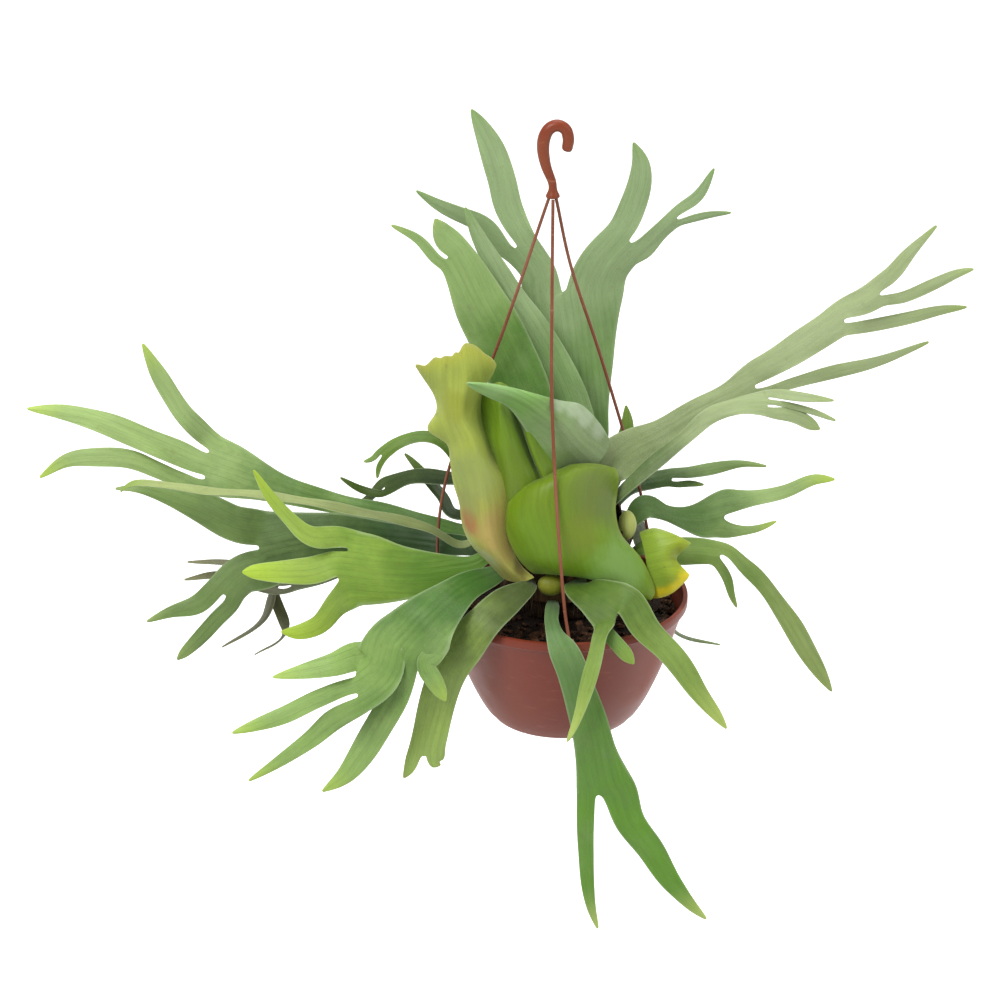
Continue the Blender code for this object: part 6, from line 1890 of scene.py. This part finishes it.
@dataclass
class RootMound:
    """The rhizome's mound: peat and roots, wrapped in dry old shields."""

    paint: Paint
    wraps: int = 11               # old shields round it
    wrap_thick: float = 0.0005
    threads: int = 110
    thread_radius: float = 0.00042
    seed: int = 5

    def __post_init__(self) -> None:
        """Start the random draws."""
        self.random = random.Random(self.seed)

    def build(self) -> None:
        """Build and dress the mound."""
        self.core()
        self.old_shields()
        self.roots()

    def core(self) -> None:
        """The mound itself, refined from the frame's solid and roughened."""
        core = Bench.place("root_core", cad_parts["root_mound"].data.copy())
        with Bench.editing(core):
            bpy.ops.mesh.remove_doubles(threshold=0.00002)
            bpy.ops.mesh.tris_convert_to_quads()
        Bench.modify(core, "SUBSURF", levels=2, render_levels=2, subdivision_type="SIMPLE")
        Bench.modify(core, "SMOOTH", iterations=4, factor=0.5)
        for vert in core.data.vertices:
            bark = noise.fractal(vert.co * 130.0, 0.7, 2.0, 5)
            vert.co -= vert.normal * (0.0011 + 0.0013 * bark)
        Bench.smooth(core, 70.0)
        Bench.deliver(core, self.paint.litter(Litter.ROOT_FIBRE), "root_fibre", "root_mound")

    def on_mound(self, angle: float, height: float, lift: float) -> Vector:
        """A point over the mound.

        Args:
            angle: Its place round the mound, in radians.
            height: Its place up the mound, from -0.6 at the foot to 1 at the top.
            lift: How far it stands off the mound.

        Returns:
            The point.
        """
        share = max(height, -0.1)
        ring = math.cos(math.asin(min(1.0, abs(share)))) if share > 0 else 1.0
        out = Vector((math.cos(angle), math.sin(angle), 0.0))
        flat = Vector((out.x * MOUND_HALF.x * ring, out.y * MOUND_HALF.y * ring,
                       height * MOUND_HALF.z))
        away = Vector((out.x * ring, out.y * ring, max(share, 0.0))).normalized()
        return MOUND_CENTRE + flat + away * lift

    def old_shields(self) -> None:
        """Dry shields of earlier years, wrapped round the mound with torn, lifted edges."""
        wraps = []
        for k in range(self.wraps):
            around = math.tau * k / self.wraps + self.random.uniform(-0.2, 0.2)
            spread = self.random.uniform(0.42, 0.62)
            top = self.random.uniform(0.15, 0.85)
            wrap = Bench.primitive("grid", x_subdivisions=16, y_subdivisions=14, size=2.0)
            for vert in wrap.data.vertices:
                out, up = vert.co.x, (vert.co.y + 1) / 2
                angle = around - out * spread * (1 - 0.35 * up)
                torn = 0.10 * noise.noise(Vector((out * 4.0, k * 3.1, 0.0)))
                height = -0.45 + (top + torn + 0.45) * up * (1 - 0.25 * out * out)
                lift = 0.0008 + 0.0006 * (k % 3) + 0.0045 * up ** 5
                lift += 0.0008 * noise.noise(Vector((out * 3.0, up * 3.0, k * 2.3)))
                vert.co = self.on_mound(angle, height, lift)
            Bench.modify(wrap, "SOLIDIFY", thickness=self.wrap_thick, offset=0.0)
            wraps.append(wrap)
        piece = Bench.join("old_shields", wraps)
        Bench.smooth(piece, 60.0)
        Bench.deliver(piece, self.paint.litter(Litter.OLD_SHIELD), "root_fibre")

    def roots(self) -> None:
        """Fine roots that creep down the mound into the mix."""
        threads = []
        for _ in range(self.threads):
            angle = self.random.uniform(0.0, math.tau)
            drift = self.random.uniform(-0.25, 0.25)
            top = self.random.uniform(-0.35, 0.25)
            line = []
            for step in range(5):
                share = step / 4
                line.append(Vector((*self.on_mound(angle + drift * share,
                                                   top - (top + 0.72) * share,
                                                   0.0012 + 0.0016 * self.random.random()),
                                    self.thread_radius * (1.1 - share))))
            rows, _ = evenly(smooth_path(line, step=6), 9)
            threads.append(Bench.bar("root_thread", rows, 0))
        piece = Bench.join("fine_roots", threads)
        Bench.smooth(piece, 80.0)
        Bench.deliver(piece, self.paint.litter(Litter.ROOT_THREAD), "root_fibre")


@dataclass
class Bud:
    """A young closed shield: an egg wrapped in its own folded edges."""

    paint: Paint
    node: str
    finish: LeafFinish

    def build(self) -> None:
        """Build and dress the bud."""
        low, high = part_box(self.node)
        bud = Bench.primitive("uv_sphere", segments=48, ring_count=32, radius=1.0)
        bud.name = self.node + "_egg"
        for vert in bud.data.vertices:
            angle = math.atan2(vert.co.y, vert.co.x)
            seam = math.exp(-((math.sin((angle - 2.2 - 0.8 * vert.co.z) / 2)) / 0.12) ** 2)
            folds = 0.035 * math.cos(3 * angle + 2.4 * vert.co.z)
            pinch = 0.12 * max(0.0, vert.co.z) ** 3
            vert.co *= 1.0 - 0.07 * seam - pinch * 0.4 - 0.03 + folds * (1 - abs(vert.co.z))
        bud.scale = (high - low) / 2
        bud.location = (high + low) / 2
        Bench.settle(bud)
        mesh = bud.data
        mesh.uv_layers.active.name = "blade"
        for loop in mesh.loops:
            uv = mesh.uv_layers["blade"].data[loop.index].uv
            uv.x *= 0.04
            uv.y *= 0.02
        reach = [max(0.0, (v.co.z - low.z) / (high.z - low.z) - 0.6) for v in mesh.vertices]
        Bench.note(mesh, margin=[0.0] * len(reach), tip=reach, run=reach)
        Bench.smooth(bud, 80.0)
        Bench.deliver(bud, self.paint.leaf(self.node + "_skin", self.finish, False),
                      "frond_bud", self.node)


@dataclass
class Studio:
    """The pale floor, the soft lights and the camera."""

    target: Point = (-0.037, 0.0, -0.258)
    elevation: float = 22.5
    distance: float = 2.4
    lens: float = 128.08
    floor_drop: float = 0.075     # from the lowest leaf down to the floor
    room: float = 0.54            # how bright the room is
    glow: float = 0.55            # how much the floor's paper glows

    # Each soft box's place, size in metres and power in watts.
    BOXES = {"key_box": ((-1.1, -1.3, 1.6), 1.1, 42.0), "right_box": ((1.7, -0.7, 0.6), 1.2, 9.0),
             "top_box": ((0.1, 0.7, 1.8), 1.4, 24.0)}

    def build(self) -> None:
        """Set up the studio."""
        self.floor()
        self.lights()
        self.camera()

    def floor(self) -> None:
        """A broad pale floor a little below the lowest leaf."""
        level = CAD_BOX[0][2] - self.floor_drop
        floor = Bench.primitive("plane", size=9.0, location=(0.0, 1.5, level))
        floor.name = "studio_floor"
        floor.data.materials.append(
            Paint.start("studio_paper", Roughness=0.9, Base_Color=(0.93, 0.93, 0.93),
                        Emission_Color=(1.0, 1.0, 1.0), Emission_Strength=self.glow)[0])
        floor.visible_diffuse = False

    def lights(self) -> None:
        """Big soft boxes above, left and right, and an even white room."""
        world = bpy.data.worlds.new("studio_room")
        bpy.context.scene.world = world
        world.use_nodes = True
        colour, strength = world.node_tree.nodes["Background"].inputs[:2]
        colour.default_value = (1.0, 1.0, 1.0, 1.0)
        strength.default_value = self.room
        for name, (place, size, power) in self.BOXES.items():
            light = bpy.data.lights.new(name, "AREA")
            light.size = size
            light.energy = power
            lamp = Bench.place(name, light)
            lamp.location = place
            aim = Vector(self.target) - lamp.location
            lamp.rotation_euler = aim.to_track_quat("-Z", "Y").to_euler()

    def camera(self) -> None:
        """The camera at the plant's front, looking a little down."""
        lens = bpy.data.cameras.new("camera")
        lens.lens = self.lens
        camera = Bench.place("camera", lens)
        down = math.radians(self.elevation)
        away = Vector((0.0, -math.cos(down), math.sin(down)))
        camera.location = Vector(self.target) + self.distance * away
        camera.rotation_euler = (math.pi / 2 - down, 0.0, 0.0)
        bpy.context.scene.camera = camera
        bpy.context.scene.view_settings.view_transform = "Standard"


def main() -> None:
    """Build and dress every part of the plant, then the studio."""
    logging.basicConfig(level=logging.INFO, format="%(message)s")
    paint = Paint(Effects())
    Studio().build()
    pot = HangingPot(paint)
    pot.build()
    Hanger(paint, pot).build()
    PottingMix(paint, pot).build()
    RootMound(paint).build()
    Foliage(paint).build()
    # The side bud's paler finish is painted light on a bud that sits in shade.
    for node, finish in (("bud_front", Shield.BUD), ("bud_side", Shield.PAINTED_LIGHT_BUD)):
        Bud(paint, node, finish.value).build()


if __name__ == "__main__":
    main()
